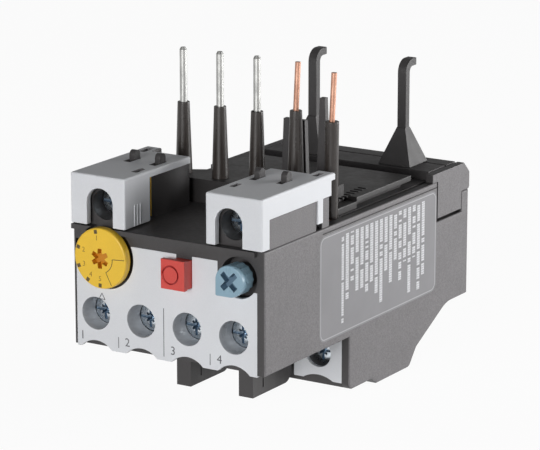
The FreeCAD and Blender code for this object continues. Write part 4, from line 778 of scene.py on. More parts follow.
def ink_slab(outline: Sequence[Flat], face: float) -> bpy.types.Mesh:
    """A printed patch on the face at Y."""
    return slab(outline, face - INK_DEPTH, face + INK_DEPTH)


def ink_line(first: Flat, last: Flat, width: float, face: float, spare: float = 0.0) -> bpy.types.Mesh:
    """A printed straight line.

    Args:
        first: its start as (x, z).
        last: its end.
        width: its width.
        face: Y of the face that it is printed on.
        spare: how far it runs past both ends.

    Returns:
        The mesh.
    """
    start, end = Vector((first[0], face, first[1])), Vector((last[0], face, last[1]))
    along = (end - start).normalized()
    side = Vector((-along.z, 0.0, along.x)) * (width / 2)
    start, end = start - along * spare, end + along * spare
    corners = (start + side, start - side, end - side, end + side)
    return ink_slab([(corner.x, corner.z) for corner in corners], face)


def numeral(number: int, height: float, place: Vector) -> bpy.types.Mesh:
    """A plain printed numeral that faces the front.

    Args:
        number: the number.
        height: height of a digit.
        place: its middle; Y is the face that it is printed on.

    Returns:
        The mesh.
    """
    curve = bpy.data.curves.new("numeral", "FONT")
    curve.body = str(number)
    curve.size = height * TYPE_SIZE
    curve.align_x = "CENTER"
    curve.align_y = "CENTER"
    curve.extrude = INK_DEPTH
    curve.resolution_u = 3
    mesh = evaluated(curve)
    mesh.transform(Matrix.Translation(place) @ Matrix.Rotation(math.pi / 2, 4, "X"))
    return mesh


@dataclass(frozen=True)
class Recess:
    """A star-shaped driver recess with blunt arms, which narrows as it goes in.

    Args:
        arms: number of arms.
        outer: radius of the arms' ends.
        inner: radius between the arms.
        turn: angle of the first arm.
        tip: share of an arm's pitch that its blunt end takes.
        depth: depth below the face.
        taper: size of the recess at its depth, as a share of that at the face.
    """

    arms: int
    outer: float
    inner: float
    turn: float
    tip: float
    depth: float
    taper: float

    def cutter(self, middle: Vector, face: float) -> bpy.types.Mesh:
        """The solid that cuts the recess.

        Args:
            middle: a point on its axis.
            face: Y of the face that it is cut into.

        Returns:
            The solid.
        """
        ends = ((self.outer, -self.tip / 2), (self.outer, self.tip / 2), (self.inner, 0.5))
        corners = [polar(middle, radius, self.turn + (arm + offset) * math.tau / self.arms)
                   for arm in range(self.arms) for radius, offset in ends]
        return slab(corners, face - OVERSHOOT, face + self.depth, self.taper, middle)


# ---------------------------------------------------------------- Geometry Nodes helpers

class Grower(Tree):
    """A Geometry Nodes tree with named inputs that ends in Realize Instances and Set Material."""

    def __init__(self, name: str, inputs: dict[str, float | int | Point]) -> None:
        """Makes the tree and its inputs.

        Args:
            name: the tree's name.
            inputs: input name to its value, whose type decides the socket's.
        """
        super().__init__(bpy.data.node_groups.new(name, "GeometryNodeTree"))
        kinds = {int: "NodeSocketInt", float: "NodeSocketFloat", tuple: "NodeSocketVector"}
        self.values: dict[str, object] = {}
        for key, value in inputs.items():
            socket = self.tree.interface.new_socket(name=key, in_out="INPUT", socket_type=kinds[type(value)])
            self.values[socket.identifier] = value
        self.tree.interface.new_socket(name="Geometry", in_out="OUTPUT", socket_type="NodeSocketGeometry")
        self.entry = self.tree.nodes.new("NodeGroupInput")
        self.exit = self.tree.nodes.new("NodeGroupOutput")

    def given(self, key: str) -> bpy.types.NodeSocket:
        """The socket of a named input."""
        return self.entry.outputs[key]

    def maths(self, operation: str, *inputs: object) -> bpy.types.NodeSocket:
        """Adds a Math node."""
        return self.add("ShaderNodeMath", dict(enumerate(inputs)), operation=operation)

    def bars(self, points: bpy.types.NodeSocket, material: bpy.types.Material,
             **turned: bpy.types.NodeSocket) -> bpy.types.Mesh:
        """Puts a bar of the input Bar's size on each point, ends the tree and gives its result as a mesh.

        Args:
            points: the places.
            material: the bars' material.
            turned: Rotation, where the bars are turned.

        Returns:
            The bars as one mesh.
        """
        cube = self.add("GeometryNodeMeshCube", {"Size": self.given("Bar")})
        bars = self.add("GeometryNodeInstanceOnPoints", {"Points": points, "Instance": cube, **turned})
        real = self.add("GeometryNodeRealizeInstances", {0: bars})
        dressed = self.add("GeometryNodeSetMaterial", {"Geometry": real, "Material": material})
        self.feed(self.exit.inputs["Geometry"], dressed)
        empty = bpy.data.meshes.new(self.tree.name)
        return evaluated(empty, "NODES", {"node_group": self.tree, **self.values})


def ring_of_bars(name: str, count: int, radius: float, bar: Point, centre: Point, sweep: float, start: float,
                 crowding: float, material: bpy.types.Material) -> bpy.types.Mesh:
    """Bars set round an axis along Y, each turned to point outwards.

    Args:
        name: the tree's name.
        count: how many bars.
        radius: distance of the bars' middles from the axis.
        bar: the bar's size outwards, along the axis and round it.
        centre: the ring's centre.
        sweep: angle from the first bar to the last.
        start: angle of the first bar, from +X towards +Z.
        crowding: power that the share of the sweep is raised to; below 1 the last bars stand closer.
        material: the bars' material.

    Returns:
        The bars as one mesh.
    """
    grow = Grower(name, {"Count": count, "Radius": radius, "Bar": bar, "Centre": centre, "Sweep": sweep,
                         "Start": start, "Crowding": crowding})
    points = grow.add("GeometryNodeMeshLine", {"Count": grow.given("Count"), "Offset": (0.0, 0.0, 0.0)},
                      mode="OFFSET")
    gaps = grow.maths("SUBTRACT", grow.given("Count"), 1.0)
    even = grow.maths("DIVIDE", grow.add("GeometryNodeInputIndex", {}), gaps)
    share = grow.maths("POWER", even, grow.given("Crowding"))
    angle = grow.maths("MULTIPLY_ADD", share, grow.given("Sweep"), grow.given("Start"))
    across, up = (grow.maths("MULTIPLY", grow.maths(function, angle), grow.given("Radius"))
                  for function in ("COSINE", "SINE"))
    spoke = grow.add("ShaderNodeCombineXYZ", {0: across, 2: up})
    place = grow.add("ShaderNodeVectorMath", {0: spoke, 1: grow.given("Centre")}, operation="ADD")
    placed = grow.add("GeometryNodeSetPosition", {"Geometry": points, "Position": place})
    facing = grow.add("ShaderNodeCombineXYZ", {1: grow.maths("MULTIPLY", angle, -1.0)})
    return grow.bars(placed, material, Rotation=facing)


def row_of_bars(name: str, count: int, step: Point, bar: Point, first: Point,
                material: bpy.types.Material) -> bpy.types.Mesh:
    """Equal bars in a straight row.

    Args:
        name: the tree's name.
        count: how many bars.
        step: from one bar to the next.
        bar: the bar's size.
        first: middle of the first bar.
        material: the bars' material.

    Returns:
        The bars as one mesh.
    """
    grow = Grower(name, {"Count": count, "Step": step, "Bar": bar, "First": first})
    points = grow.add("GeometryNodeMeshLine", {"Count": grow.given("Count"),
                                               "Start Location": grow.given("First"),
                                               "Offset": grow.given("Step")}, mode="OFFSET")
    return grow.bars(points, material)


# ---------------------------------------------------------------- workbench

class Bench:
    """What every sub-assembly works with: the frame, the materials and the ways to make a piece."""

    def __init__(self, frame: dict) -> None:
        """Keeps the loaded frame.
        """
        self.nodes: dict[str, bpy.types.Object] = frame["nodes"]
        self.body_of = {node: body for body, nodes in frame["record"]["behaviour"]["bodies"].items()
                        for node in nodes}
        self.made: dict[Finish, bpy.types.Material] = {}

    def material(self, finish: Finish) -> bpy.types.Material:
        """Makes a finish's material, once.

        Args:
            finish: the finish.

        Returns:
            Its material.
        """
        if finish not in self.made:
            self.made[finish] = finish.value.material()
        return self.made[finish]

    def coloured(self, mesh: bpy.types.Mesh, finish: Finish) -> bpy.types.Mesh:
        """Gives a mesh one finish.

        Args:
            mesh: the mesh, which is changed.
            finish: its only finish.

        Returns:
            The same mesh.
        """
        mesh.materials.clear()
        mesh.materials.append(self.material(finish))
        return mesh

    def paint(self, finish: Finish, *nodes: str) -> None:
        """Gives CAD nodes a finish."""
        for node in nodes:
            self.coloured(self.nodes[node].data, finish)

    def piece(self, name: str, mesh: bpy.types.Mesh, finish: Finish, body: str,
              stands_for: Sequence[str] = ()) -> bpy.types.Object:
        """Makes a finished piece of a mesh that has its materials.

        Args:
            name: the piece's name.
            mesh: its mesh, in place.
            finish: not used.
            body: the CAD body that it rides on.
            stands_for: CAD nodes that it replaces.

        Returns:
            The piece.
        """
        soften_shading(mesh)
        mesh = levelled(mesh)
        mesh.name = name
        made = linked(name, mesh)
        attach(made, body)
        if stands_for:
            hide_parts(*stands_for)
        LOG.info("%s: %d faces on %s", name, len(mesh.polygons), body)
        return made

    def softened(self, node: str, finish: Finish, width: float) -> bpy.types.Object:
        """Replaces a CAD node by a copy whose edges are broken.

        Args:
            node: the CAD node.
            finish: its finish.
            width: the bevel's width.

        Returns:
            The piece.
        """
        mesh = self.coloured(bevelled(merged(self.nodes[node].data), width), finish)
        return self.piece(node + "_moulding", mesh, finish, self.body_of[node], [node])

    def reface(self, piece: bpy.types.Object, finish: Finish,
               wanted: Callable[[bpy.types.MeshPolygon], bool]) -> None:
        """Gives some faces of a piece another finish.

        Args:
            piece: the piece.
            finish: the other finish.
            wanted: the test that those faces pass.
        """
        mesh = piece.data
        mesh.materials.append(self.material(finish))
        for face in mesh.polygons:
            if wanted(face):
                face.material_index = len(mesh.materials) - 1

    def grain(self, piece: bpy.types.Object, outward: Sequence[Vector], reach: float = 5.0 * MM,
              facing: float = 0.45) -> None:
        """Gives a piece's outer faces the grey finish with its grain, whose lighter colour is painted sheen.

        Args:
            piece: the piece.
            outward: directions that the faces with painted sheen look in.
            reach: how far behind the piece's outermost point in that direction they may lie.
            facing: how nearly they look that way, as a cosine.
        """
        limits = [(way, max(way.dot(vertex.co) for vertex in piece.data.vertices) - reach) for way in outward]
        # These faces take the grey finish: a real grain, with a lighter colour that is painted sheen.
        self.reface(piece, Finish.SHELL, lambda face: any(
            face.normal.dot(way) > facing and way.dot(face.center) > limit for way, limit in limits))


# ---------------------------------------------------------------- sub-assemblies

@dataclass
class Housing:
    """The dark shell: tub, side cover, rear block, deck, central block, guard and hooks.

    Args:
        bench: the workbench.
        edge: bevel of most pieces.
        wide_edge: bevel of the deck plate, the central block and the hooks.
        marks, mark, mark_step: number, size and spacing of the raised bars on the deck.
        mark_inset: the first bar, inside the deck plate's right side and behind its front.
    """

    bench: Bench
    edge: float = 0.16 * MM
    wide_edge: float = 0.24 * MM
    marks: int = 9
    mark: Point = (2.0 * MM, 0.55 * MM, 0.3 * MM)
    mark_step: Point = (-0.05 * MM, 1.65 * MM, 0.0)
    mark_inset: Flat = (2.6 * MM, 2.2 * MM)

    def build(self) -> None:
        """Dresses the shell's pieces, with painted sheen on the faces that look sideways or back and painted
        shade on the deck and central block, and sets the row of raised bars on the deck.
        """
        grain_and_sheen_sides = {"main_case": (LEFT, REAR), "side_cover": (RIGHT, REAR), "rear_block": (LEFT, RIGHT, REAR)}
        for node, finish, width in (
                ("main_case", Finish.BLACK, self.edge),
                ("side_cover", Finish.BLACK, self.edge),
                ("rear_block", Finish.BLACK, self.edge),
                # deck plate and central block take the darker black: painted shade on up-facing and recessed
                # faces
                ("deck_plate", Finish.DECK, self.wide_edge),
                ("central_block", Finish.DECK, self.wide_edge),
                ("wire_guard", Finish.BLACK, self.edge),
                ("hook_left", Finish.BLACK, self.wide_edge),
                ("hook_right", Finish.BLACK, self.wide_edge),
                ("front_block", Finish.BLACK, self.edge)):
            made = self.bench.softened(node, finish, width)
            # the outer side and rear faces get the grey finish: its grain, and a lighter colour that is
            # painted sheen
            if node in grain_and_sheen_sides:
                self.bench.grain(made, grain_and_sheen_sides[node])
        self.bench.paint(Finish.FILM, "label_plate")
        deck = Box.of("deck_plate")
        first = (deck.high.x - self.mark_inset[0], deck.low.y + self.mark_inset[1], deck.high.z)
        marks = row_of_bars("deck_bars", self.marks, self.mark_step, self.mark, first,
                            self.bench.material(Finish.DECK))
        self.bench.piece("deck_marks", marks, Finish.DECK, HOUSING_BODY)


@dataclass
class FrontPanel:
    """The light front plate with its marks, and the light plates of the motor terminals.

    Args:
        bench: the workbench.
        edge: the plates' bevel.
        line: width of the printed lines.
        digit: height of the numerals.
        digit_place: middle of a numeral, left of its screw's axis and above the plate's foot.
        divider: place of a dividing line, left of a screw's axis, and its foot above the plate's.
        divider_tops: tops of the dividing lines above the plate's foot, by the number of the next screw.
        pointer: half width and height of the small triangle.
        pointer_place: its tip, left of the dial's axis and below the dial.
        well_reach: the walls of a screw well are nearer to its axis than this.
    """

    bench: Bench
    edge: float = 0.18 * MM
    line: float = 0.16 * MM
    digit: float = 1.7 * MM
    digit_place: Flat = (3.3 * MM, 2.3 * MM)
    divider: Flat = (5.45 * MM, 0.9 * MM)
    divider_tops: tuple[float, ...] = (3.2 * MM, 10.8 * MM, 3.2 * MM)
    pointer: Flat = (0.7 * MM, 1.2 * MM)
    pointer_place: Flat = (1.0 * MM, 1.5 * MM)
    well_reach: float = 3.6 * MM

    def build(self) -> None:
        """Dresses the plates, paints shade on the walls of the screw wells and prints the marks."""
        screws = [Box.of("aux_screw_%d" % number).mid for number in (1, 2, 3, 4)]
        plate = self.bench.softened("front_plate", Finish.LIGHT, self.edge)
        # the walls inside the screw wells get painted shade: a darker grey copy of the light plastic
        self.bench.reface(plate, Finish.WELL, lambda face: abs(face.normal.y) < 0.5 and any(
            math.hypot(face.center.x - axis.x, face.center.z - axis.z) < self.well_reach for axis in screws))
        for number in (1, 2, 3):
            self.bench.softened("main_plate_%d" % number, Finish.LIGHT, self.edge)
        marks = [self.bench.coloured(mesh, Finish.INK) for mesh in self.marks(screws)]
        self.bench.piece("front_marks", joined(marks), Finish.INK, HOUSING_BODY)

    def marks(self, screws: Sequence[Vector]) -> list[bpy.types.Mesh]:
        """Makes the plain numerals, the dividing lines and the pointer under the dial.

        Args:
            screws: middles of the four screws.

        Returns:
            The marks.
        """
        corner = Box.of("front_plate").low
        face = corner.y
        meshes = []
        for number, screw in enumerate(screws, 1):
            place = Vector((screw.x - self.digit_place[0], face, corner.z + self.digit_place[1]))
            meshes.append(numeral(number, self.digit, place))
            if number > 1:
                x = screw.x - self.divider[0]
                meshes.append(cuboid(
                    (x - self.line / 2, face - INK_DEPTH, corner.z + self.divider[1]),
                    (x + self.line / 2, face + INK_DEPTH, corner.z + self.divider_tops[number - 2])))
        dial = Box.of("dial")
        x, z = dial.mid.x - self.pointer_place[0], dial.low.z - self.pointer_place[1]
        half, height = self.pointer
        corners = [(x, z), (x - half, z - height), (x + half, z - height)]
        for start, end in zip(corners, corners[1:] + corners[:1]):
            meshes.append(ink_line(start, end, self.line, face, self.line / 2))
        return meshes


@dataclass
class TerminalCaps:
    """The two light caps, the black terminal bodies under them and the left cap's ribs and yellow strip.

    Args:
        bench: the workbench.
        edge: bevel of caps and terminal bodies.
        insert_reach: how far behind its outermost face a terminal body gets the grey finish with painted
            sheen.
        pit_depth: the small pits in a cap's roof are shallower than this.
        pit_inset: they lie at least this far inside the cap's outline.
        pit_lip: the roof's own faces are within this of its top.
        ribs, rib, rib_pitch: number, size and pitch of the left cap's ribs.
        rib_start: the first rib, behind the cap's front.
        rib_foot: foot of the ribs above the cap's.
        strip: size of the yellow strip.
        strip_start: the strip, behind the cap's front.
        strip_foot: foot of the strip above the terminal body's.
    """

    bench: Bench
    edge: float = 0.16 * MM
    insert_reach: float = 1.5 * MM
    pit_depth: float = 1.5 * MM
    pit_inset: float = 0.45 * MM
    pit_lip: float = 0.02 * MM
    ribs: int = 3
    rib: Point = (0.25 * MM, 0.3 * MM, 4.2 * MM)
    rib_pitch: float = 1.0 * MM
    rib_start: float = 3.5 * MM
    rib_foot: float = 0.2 * MM
    strip: Point = (0.15 * MM, 0.32 * MM, 8.2 * MM)
    strip_start: float = 11.2 * MM
    strip_foot: float = 0.6 * MM

    def build(self) -> None:
        """Dresses the caps."""
        for side, way in (("left", LEFT), ("right", RIGHT)):
            self.darken_pits("cap_" + side)
            insert = self.bench.softened("cap_insert_" + side, Finish.BLACK, self.edge)
            # the outer side pad takes the grey finish: its grain, and a lighter colour that is painted sheen
            self.bench.grain(insert, [way], self.insert_reach)
        self.left_side()

    def darken_pits(self, node: str) -> None:
        """Dresses a cap, with painted shade, the darker grey finish, on the walls and floors of the small
        pits in its roof.

        Args:
            node: the cap's node.
        """
        box = Box.of(node)
        inset = Vector((self.pit_inset, self.pit_inset, 0.0))
        low, high = box.low + inset, box.high - inset
        floor, roof = box.high.z - self.pit_depth, box.high.z - self.pit_lip

        def in_pit(face: bpy.types.MeshPolygon) -> bool:
            """Whether a face lies in one of the pits."""
            x, y, z = face.center
            return low.x < x < high.x and low.y < y < high.y and floor < z < roof

        # the pits' walls and floors take the darker grey finish as painted shade
        self.bench.reface(self.bench.softened(node, Finish.LIGHT, self.edge), Finish.SHELL, in_pit)

    def left_side(self) -> None:
        """Adds the small ribs on the left cap's inner wall and the thin yellow strip behind that wall."""
        cap, insert = Box.of("cap_left"), Box.of("cap_insert_left")
        first = (cap.high.x, cap.low.y + self.rib_start, cap.low.z + self.rib[2] / 2 + self.rib_foot)
        ribs = row_of_bars("cap_ribs", self.ribs, (0.0, self.rib_pitch, 0.0), self.rib, first,
                           self.bench.material(Finish.LIGHT))
        self.bench.piece("cap_ribs_left", ribs, Finish.LIGHT, HOUSING_BODY)
        low = Vector((insert.high.x - self.strip[0] / 2, cap.low.y + self.strip_start,
                      insert.low.z + self.strip_foot))
        strip = self.bench.coloured(cuboid(low, low + Vector(self.strip)), Finish.YELLOW)
        self.bench.piece("cap_strip_left", strip, Finish.YELLOW, HOUSING_BODY)


@dataclass
class SettingDial:
    """The yellow dial: a flat disc with a star recess in painted shade, ticks, plain numerals and the outline
    of a sector.

    Args:
        bench: the workbench.
        rim: radius of the disc's front edge.
        back: bevel of the disc's rear edge.
        thickness: thickness of the disc.
        hub: how much smaller than the disc's radius the hub's is.
        sunk: rear of the hub behind the dial's face.
        shaft: radius of the shaft.
        recess: the star recess.
        ticks, tick: number of ticks, and their size outwards, along the axis and round it.
        tick_inset: middle of a tick inside the disc's edge.
        tick_start, tick_sweep, tick_crowding: angles of the ticks, as ring_of_bars has them.
        digit, digit_radius: height of the numerals and their distance from the axis.
        sector: inner radius, and how far inside the disc's edge its lines end.
        sector_angles: its two ends.
        sector_line: width of its lines.
        arc_steps: straight steps in its arc.
        sides: sides of the round body.
    """

    bench: Bench
    rim: float = 0.35 * MM
    back: float = 0.15 * MM
    thickness: float = 1.8 * MM
    hub: float = 1.1 * MM
    sunk: float = 3.0 * MM
    shaft: float = 2.0 * MM
    recess: Recess = Recess(arms=6, outer=2.3 * MM, inner=1.25 * MM, turn=math.pi / 2, tip=0.42,
                            depth=1.1 * MM, taper=0.8)
    ticks: int = 5
    tick: Point = (0.8 * MM, 2 * INK_DEPTH, 0.75 * MM)
    tick_inset: float = 0.72 * MM
    tick_start: float = math.radians(100)
    tick_sweep: float = math.radians(170)
    tick_crowding: float = 0.74
    digit: float = 1.0 * MM
    digit_radius: float = 4.15 * MM
    sector: Flat = (3.0 * MM, 0.3 * MM)
    sector_angles: Flat = (math.radians(-62), math.radians(4))
    sector_line: float = 0.14 * MM
    arc_steps: int = 10
    sides: int = 96

    def build(self) -> None:
        """Builds the dial round its node."""
        box = Box.of("dial")
        radius, front, end = box.radius, box.low.y, box.high.y
        rear, step = front + self.thickness, front + self.sunk
        profile = [(0.0, front), (radius - self.rim, front)]
        for turn in (math.pi / 6, math.pi / 3, math.pi / 2):
            inwards, back = self.rim * (1 - math.sin(turn)), self.rim * (1 - math.cos(turn))
            profile.append((radius - inwards, front + back))
        profile += [(radius, rear - self.back), (radius - self.back, rear), (radius - self.hub, rear),
                    (radius - self.hub, step), (self.shaft, step), (self.shaft, end), (0.0, end)]
        body = self.bench.coloured(lathe(profile, box.mid, self.sides), Finish.YELLOW)
        # the star recess takes the darker amber as painted shade
        cutter = self.bench.coloured(self.recess.cutter(box.mid, front), Finish.AMBER)
        self.bench.piece("dial_face", carved(body, [cutter]), Finish.YELLOW, "setting_dial", ["dial"])
        marks = joined(self.marks(box.mid, radius, front))
        self.bench.piece("dial_marks", marks, Finish.YELLOW, "setting_dial")
        self.bench.paint(Finish.NATURAL, "dial_cam")

    def marks(self, middle: Vector, radius: float, front: float) -> list[bpy.types.Mesh]:
        """Makes the printed ticks, numerals and sector.

        Args:
            middle: a point on the dial's axis.
            radius: the disc's radius.
            front: Y of its face.

        Returns:
            The marks, each with its finish.
        """
        meshes = [ring_of_bars("dial_ticks", self.ticks, radius - self.tick_inset, self.tick,
                               (middle.x, front, middle.z), self.tick_sweep, self.tick_start,
                               self.tick_crowding, self.bench.material(Finish.DIAL_INK))]
        for number in range(self.ticks):
            angle = self.tick_start + self.tick_sweep * (number / (self.ticks - 1)) ** self.tick_crowding
            x, z = polar(middle, self.digit_radius, angle)
            figure = numeral(number + 1, self.digit, Vector((x, front, z)))
            meshes.append(self.bench.coloured(figure, Finish.DIAL_FIGURES))
        lines = self.lines(middle, radius, front)
        return meshes + [self.bench.coloured(line, Finish.DIAL_INK) for line in lines]

    def lines(self, middle: Vector, radius: float, front: float) -> list[bpy.types.Mesh]:
        """Makes the sector at the dial's right: two radial lines and an arc.

        Args:
            middle: a point on the dial's axis.
            radius: the disc's radius.
            front: Y of its face.

        Returns:
            The lines.
        """
        inner, outer = self.sector[0], radius - self.sector[1]
        first, last = self.sector_angles
        half = self.sector_line / 2
        lines = [ink_line(polar(middle, inner, angle), polar(middle, outer, angle), self.sector_line, front)
                 for angle in (first, last)]
        angles = [first + (last - first) * step / self.arc_steps for step in range(self.arc_steps + 1)]
        arc = [polar(middle, inner - half, angle) for angle in angles]
        arc += [polar(middle, inner + half, angle) for angle in reversed(angles)]
        return [*lines, ink_slab(arc, front)]


@dataclass
class TestButton:
    """The red test button: a soft-edged head with a ring groove in painted shade, on a ribbed stem.

    Args:
        bench: the workbench.
        edge, edge_steps: the head's bevel and the faces across it.
        ring: inner and outer radius of the groove.
        ring_depth: its depth.
        ring_shift: how far left of and below the head's middle it lies.
        ribs, rib, rib_pitch: number, size and pitch of the ribs on the right side.
        rib_start: the first rib behind the head's face.
        rib_sunk: middle of a rib inside the side's plane, as a share of its thickness.
        sides: sides of the round groove.
    """

    bench: Bench
    edge: float = 0.3 * MM
    edge_steps: int = 3
    ring: Flat = (1.6 * MM, 1.95 * MM)
    ring_depth: float = 0.3 * MM
    ring_shift: Flat = (0.5 * MM, 0.1 * MM)
    ribs: int = 3
    rib: Point = (0.16 * MM, 0.3 * MM, 5.0 * MM)
    rib_pitch: float = 0.62 * MM
    rib_start: float = 1.5 * MM
    rib_sunk: float = 0.4
    sides: int = 72

    def build(self) -> None:
        """Builds the button round its node and dresses its spring."""
        box = Box.of("test_button")
        front = box.low.y
        block = bevelled(merged(self.bench.nodes["test_button"].data), self.edge, self.edge_steps)
        centre = box.mid - Vector((self.ring_shift[0], 0.0, self.ring_shift[1]))
        inner, outer = self.ring
        near, deep = front - OVERSHOOT, front + self.ring_depth
        loop = [(inner, near), (outer, near), (outer, deep), (inner, deep), (inner, near)]
        # the groove takes the darker red as painted shade
        groove = self.bench.coloured(lathe(loop, centre, self.sides), Finish.CARMINE)
        ribs = row_of_bars("button_ribs", self.ribs, (0.0, self.rib_pitch, 0.0), self.rib,
                           (box.high.x - self.rib[0] * self.rib_sunk, front + self.rib_start, box.mid.z),
                           self.bench.material(Finish.RED))
        head = carved(self.bench.coloured(block, Finish.RED), [groove])
        self.bench.piece("button_head", joined([head, ribs]), Finish.RED, "test_button", ["test_button"])
        self.bench.paint(Finish.SPRING, "test_spring")


@dataclass
class ResetKnob:
    """The blue knob: fluted round body, pointed front plate and a cross recess in painted shade.

    Args:
        bench: the workbench.
        edge: bevel of the pointed plate.
        plate: its thickness.
        recess: the cross recess.
        flutes, flute: number and depth of the flutes.
        flute_steps: straight steps across a flute.
        arc_steps: straight steps in the plate's round stretch.
    """

    bench: Bench
    edge: float = 0.3 * MM
    plate: float = 1.5 * MM
    recess: Recess = Recess(arms=4, outer=2.744 * MM, inner=1.064 * MM, turn=math.pi / 4, tip=0.33,
                            depth=1.2 * MM, taper=0.62)
    flutes: int = 14
    flute: float = 0.2 * MM
    flute_steps: int = 4
    arc_steps: int = 42

    def build(self) -> None:
        """Builds the knob round its node and dresses what it stands on."""
        box = Box.of("reset_knob")
        middle, radius, front = box.mid, box.radius, box.low.y
        face = [(middle.x - radius, middle.z - radius)]
        for step in range(self.arc_steps + 1):
            face.append(polar(middle, radius, math.pi * (1.5 * step / self.arc_steps - 0.5)))
        barrel = []
        for step in range(self.flutes * self.flute_steps):
            angle = math.tau * step / (self.flutes * self.flute_steps)
            reach = radius - self.flute * (0.5 - 0.5 * math.cos(self.flutes * angle))
            barrel.append(polar(middle, reach, angle))
        plate = bevelled(slab(face, front, front + self.plate), self.edge)
        body = self.bench.coloured(slab(barrel, front + self.plate, box.high.y), Finish.BLUE)
        # the cross recess takes the darker blue as painted shade
        cutter = self.bench.coloured(self.recess.cutter(middle, front), Finish.NAVY)
        head = carved(self.bench.coloured(plate, Finish.BLUE), [cutter])
        self.bench.piece("knob_face", joined([head, body]), Finish.BLUE, "reset_knob", ["reset_knob"])
        self.bench.paint(Finish.BLACK, "reset_plunger")
        self.bench.paint(Finish.SPRING, "reset_spring")


@dataclass
class Conductors:
    """Pins, copper wires and their sleeves.

    Args:
        bench: the workbench.
        edge: bevel of the sleeves.
    """

    bench: Bench
    edge: float = 0.12 * MM

    def build(self) -> None:
        """Dresses pins, wires and sleeves."""
        for sleeve, finish, bare, keys in (("pin_sleeve_", Finish.TINNED, "phase_pin_", "123"),
                                           ("wire_sleeve_", Finish.COPPER, "coil_wire_", "ab")):
            for key in keys:
                self.bench.paint(finish, bare + key)
                self.bench.softened(sleeve + key, Finish.SLEEVE, self.edge)


@dataclass
class Screws:
    """The nine terminal screws: domed plated heads with a slot and a cross in painted shade, on threaded
    shanks.

    Args:
        bench: the workbench.
        dome, crown: height of the head's dome, and its radius as a share of the head's.
        rim: height of the slope round the dome.
        seat: underside of the head behind its face.
        head_edge: bevel under the head.
        slot, slot_depth: width and depth of the slot and of the cross line.
        slot_reach, cross_reach: half lengths of both, as shares of the head's radius.
        star, star_depth: radii of the driver cross as shares of the head's, and its depth.
        star_tip, star_taper: its blunt ends and how it narrows, as Recess has them.
        shank, thread, pitch: radius of the shank, depth and pitch of its thread.
        root: start of each turn behind the last one's end.
        plain: length at the tip that takes no further turn.
        tip: bevel of the tip.
        clamp_edge: bevel of the clamp washers.
        dome_steps: straight steps in the dome's outline.
        sides: sides of the round body.
    """

    bench: Bench
    dome: float = 0.55 * MM
    crown: float = 0.92
    rim: float = 0.15 * MM
    seat: float = 2.0 * MM
    head_edge: float = 0.2 * MM
    slot: float = 0.6 * MM
    slot_depth: float = 0.9 * MM
    slot_reach: float = 1.2
    cross_reach: float = 0.72
    star: Flat = (0.55, 0.22)
    star_depth: float = 1.5 * MM
    star_tip: float = 0.2
    star_taper: float = 0.45
    shank: float = 1.75 * MM
    thread: float = 0.12 * MM
    pitch: float = 0.6 * MM
    root: float = 0.02 * MM
    plain: float = 0.6 * MM
    tip: float = 0.5 * MM
    clamp_edge: float = 0.12 * MM
    dome_steps: int = 6
    sides: int = 48

    def build(self) -> None:
        """Builds every screw round its node, and dresses the clamp washers."""
        for node in sorted(self.bench.nodes):
            if "_screw_" in node:
                self.screw(node)
        for node in ("aux_clamps", "main_clamps", "cap_clamps"):
            self.bench.softened(node, Finish.ZINC, self.clamp_edge)

    def screw(self, node: str) -> None:
        """Builds one screw.

        Args:
            node: its node, which is also the name of its body.
        """
        box = Box.of(node)
        head = self.bench.coloured(lathe(self.profile(box), box.mid, self.sides), Finish.ZINC)
        # the cut slot and cross take the darker zinc as painted shade
        cutters = [self.bench.coloured(cutter, Finish.RECESS) for cutter in self.cutters(box)]
        self.bench.piece(node + "_turned", carved(head, cutters), Finish.ZINC, node, [node])

    def profile(self, box: Box) -> list[Flat]:
        """The screw's outline: dome, head, thread and tip.

        Args:
            box: the node's box.

        Returns:
            The outline as (radius, place along Y).
        """
        radius, front, end = box.radius, box.low.y, box.high.y
        seat = front + self.seat
        profile = [(0.0, front)]
        for step in range(1, self.dome_steps + 1):
            turn = math.pi / 2 * step / self.dome_steps
            profile.append((radius * self.crown * math.sin(turn), front + self.dome * (1 - math.cos(turn))))
        profile += [(radius, front + self.dome + self.rim), (radius, seat - self.head_edge),
                    (radius - self.head_edge, seat)]
        for turn in range(int((end - seat - self.plain) / self.pitch)):
            along = seat + self.pitch * turn
            profile += [(self.shank - self.thread, along + self.root), (self.shank, along + self.pitch / 2)]
        profile += [(self.shank - self.thread, end - self.tip), (self.shank - self.tip, end), (0.0, end)]
        return profile

    def cutters(self, box: Box) -> list[bpy.types.Mesh]:
        """The solids that cut the slot, the cross line and the driver cross.

        Args:
            box: the node's box.

        Returns:
            The solids.
        """
        middle, radius, front = box.mid, box.radius, box.low.y
        half = self.slot / 2
        outer, inner = radius * self.star[0], radius * self.star[1]
        cross = Recess(arms=4, outer=outer, inner=inner, turn=math.pi / 4, tip=self.star_tip,
                       depth=self.star_depth, taper=self.star_taper)
        bars = [cuboid((middle.x - wide, front - OVERSHOOT, middle.z - high),
                       (middle.x + wide, front + self.slot_depth, middle.z + high))
                for wide, high in ((radius * self.slot_reach, half), (half, radius * self.cross_reach))]
        return [*bars, cross.cutter(middle, front)]


@dataclass
class Mechanism:
    """The sealed inner pieces."""

    bench: Bench

    def build(self) -> None:
        """Dresses the inner pieces."""
        self.bench.paint(Finish.BIMETAL, "bimetal_1", "bimetal_2", "bimetal_3")
        self.bench.paint(Finish.WINDING, "heaters")
        self.bench.paint(Finish.TINNED, "busbars_upper", "busbars_lower")
        self.bench.paint(Finish.NATURAL, "trip_slider", "trip_lever", "contact_carrier")
        self.bench.paint(Finish.BRASS, "nc_contacts", "no_contacts", "bridge_nc", "bridge_no")


# ---------------------------------------------------------------- studio

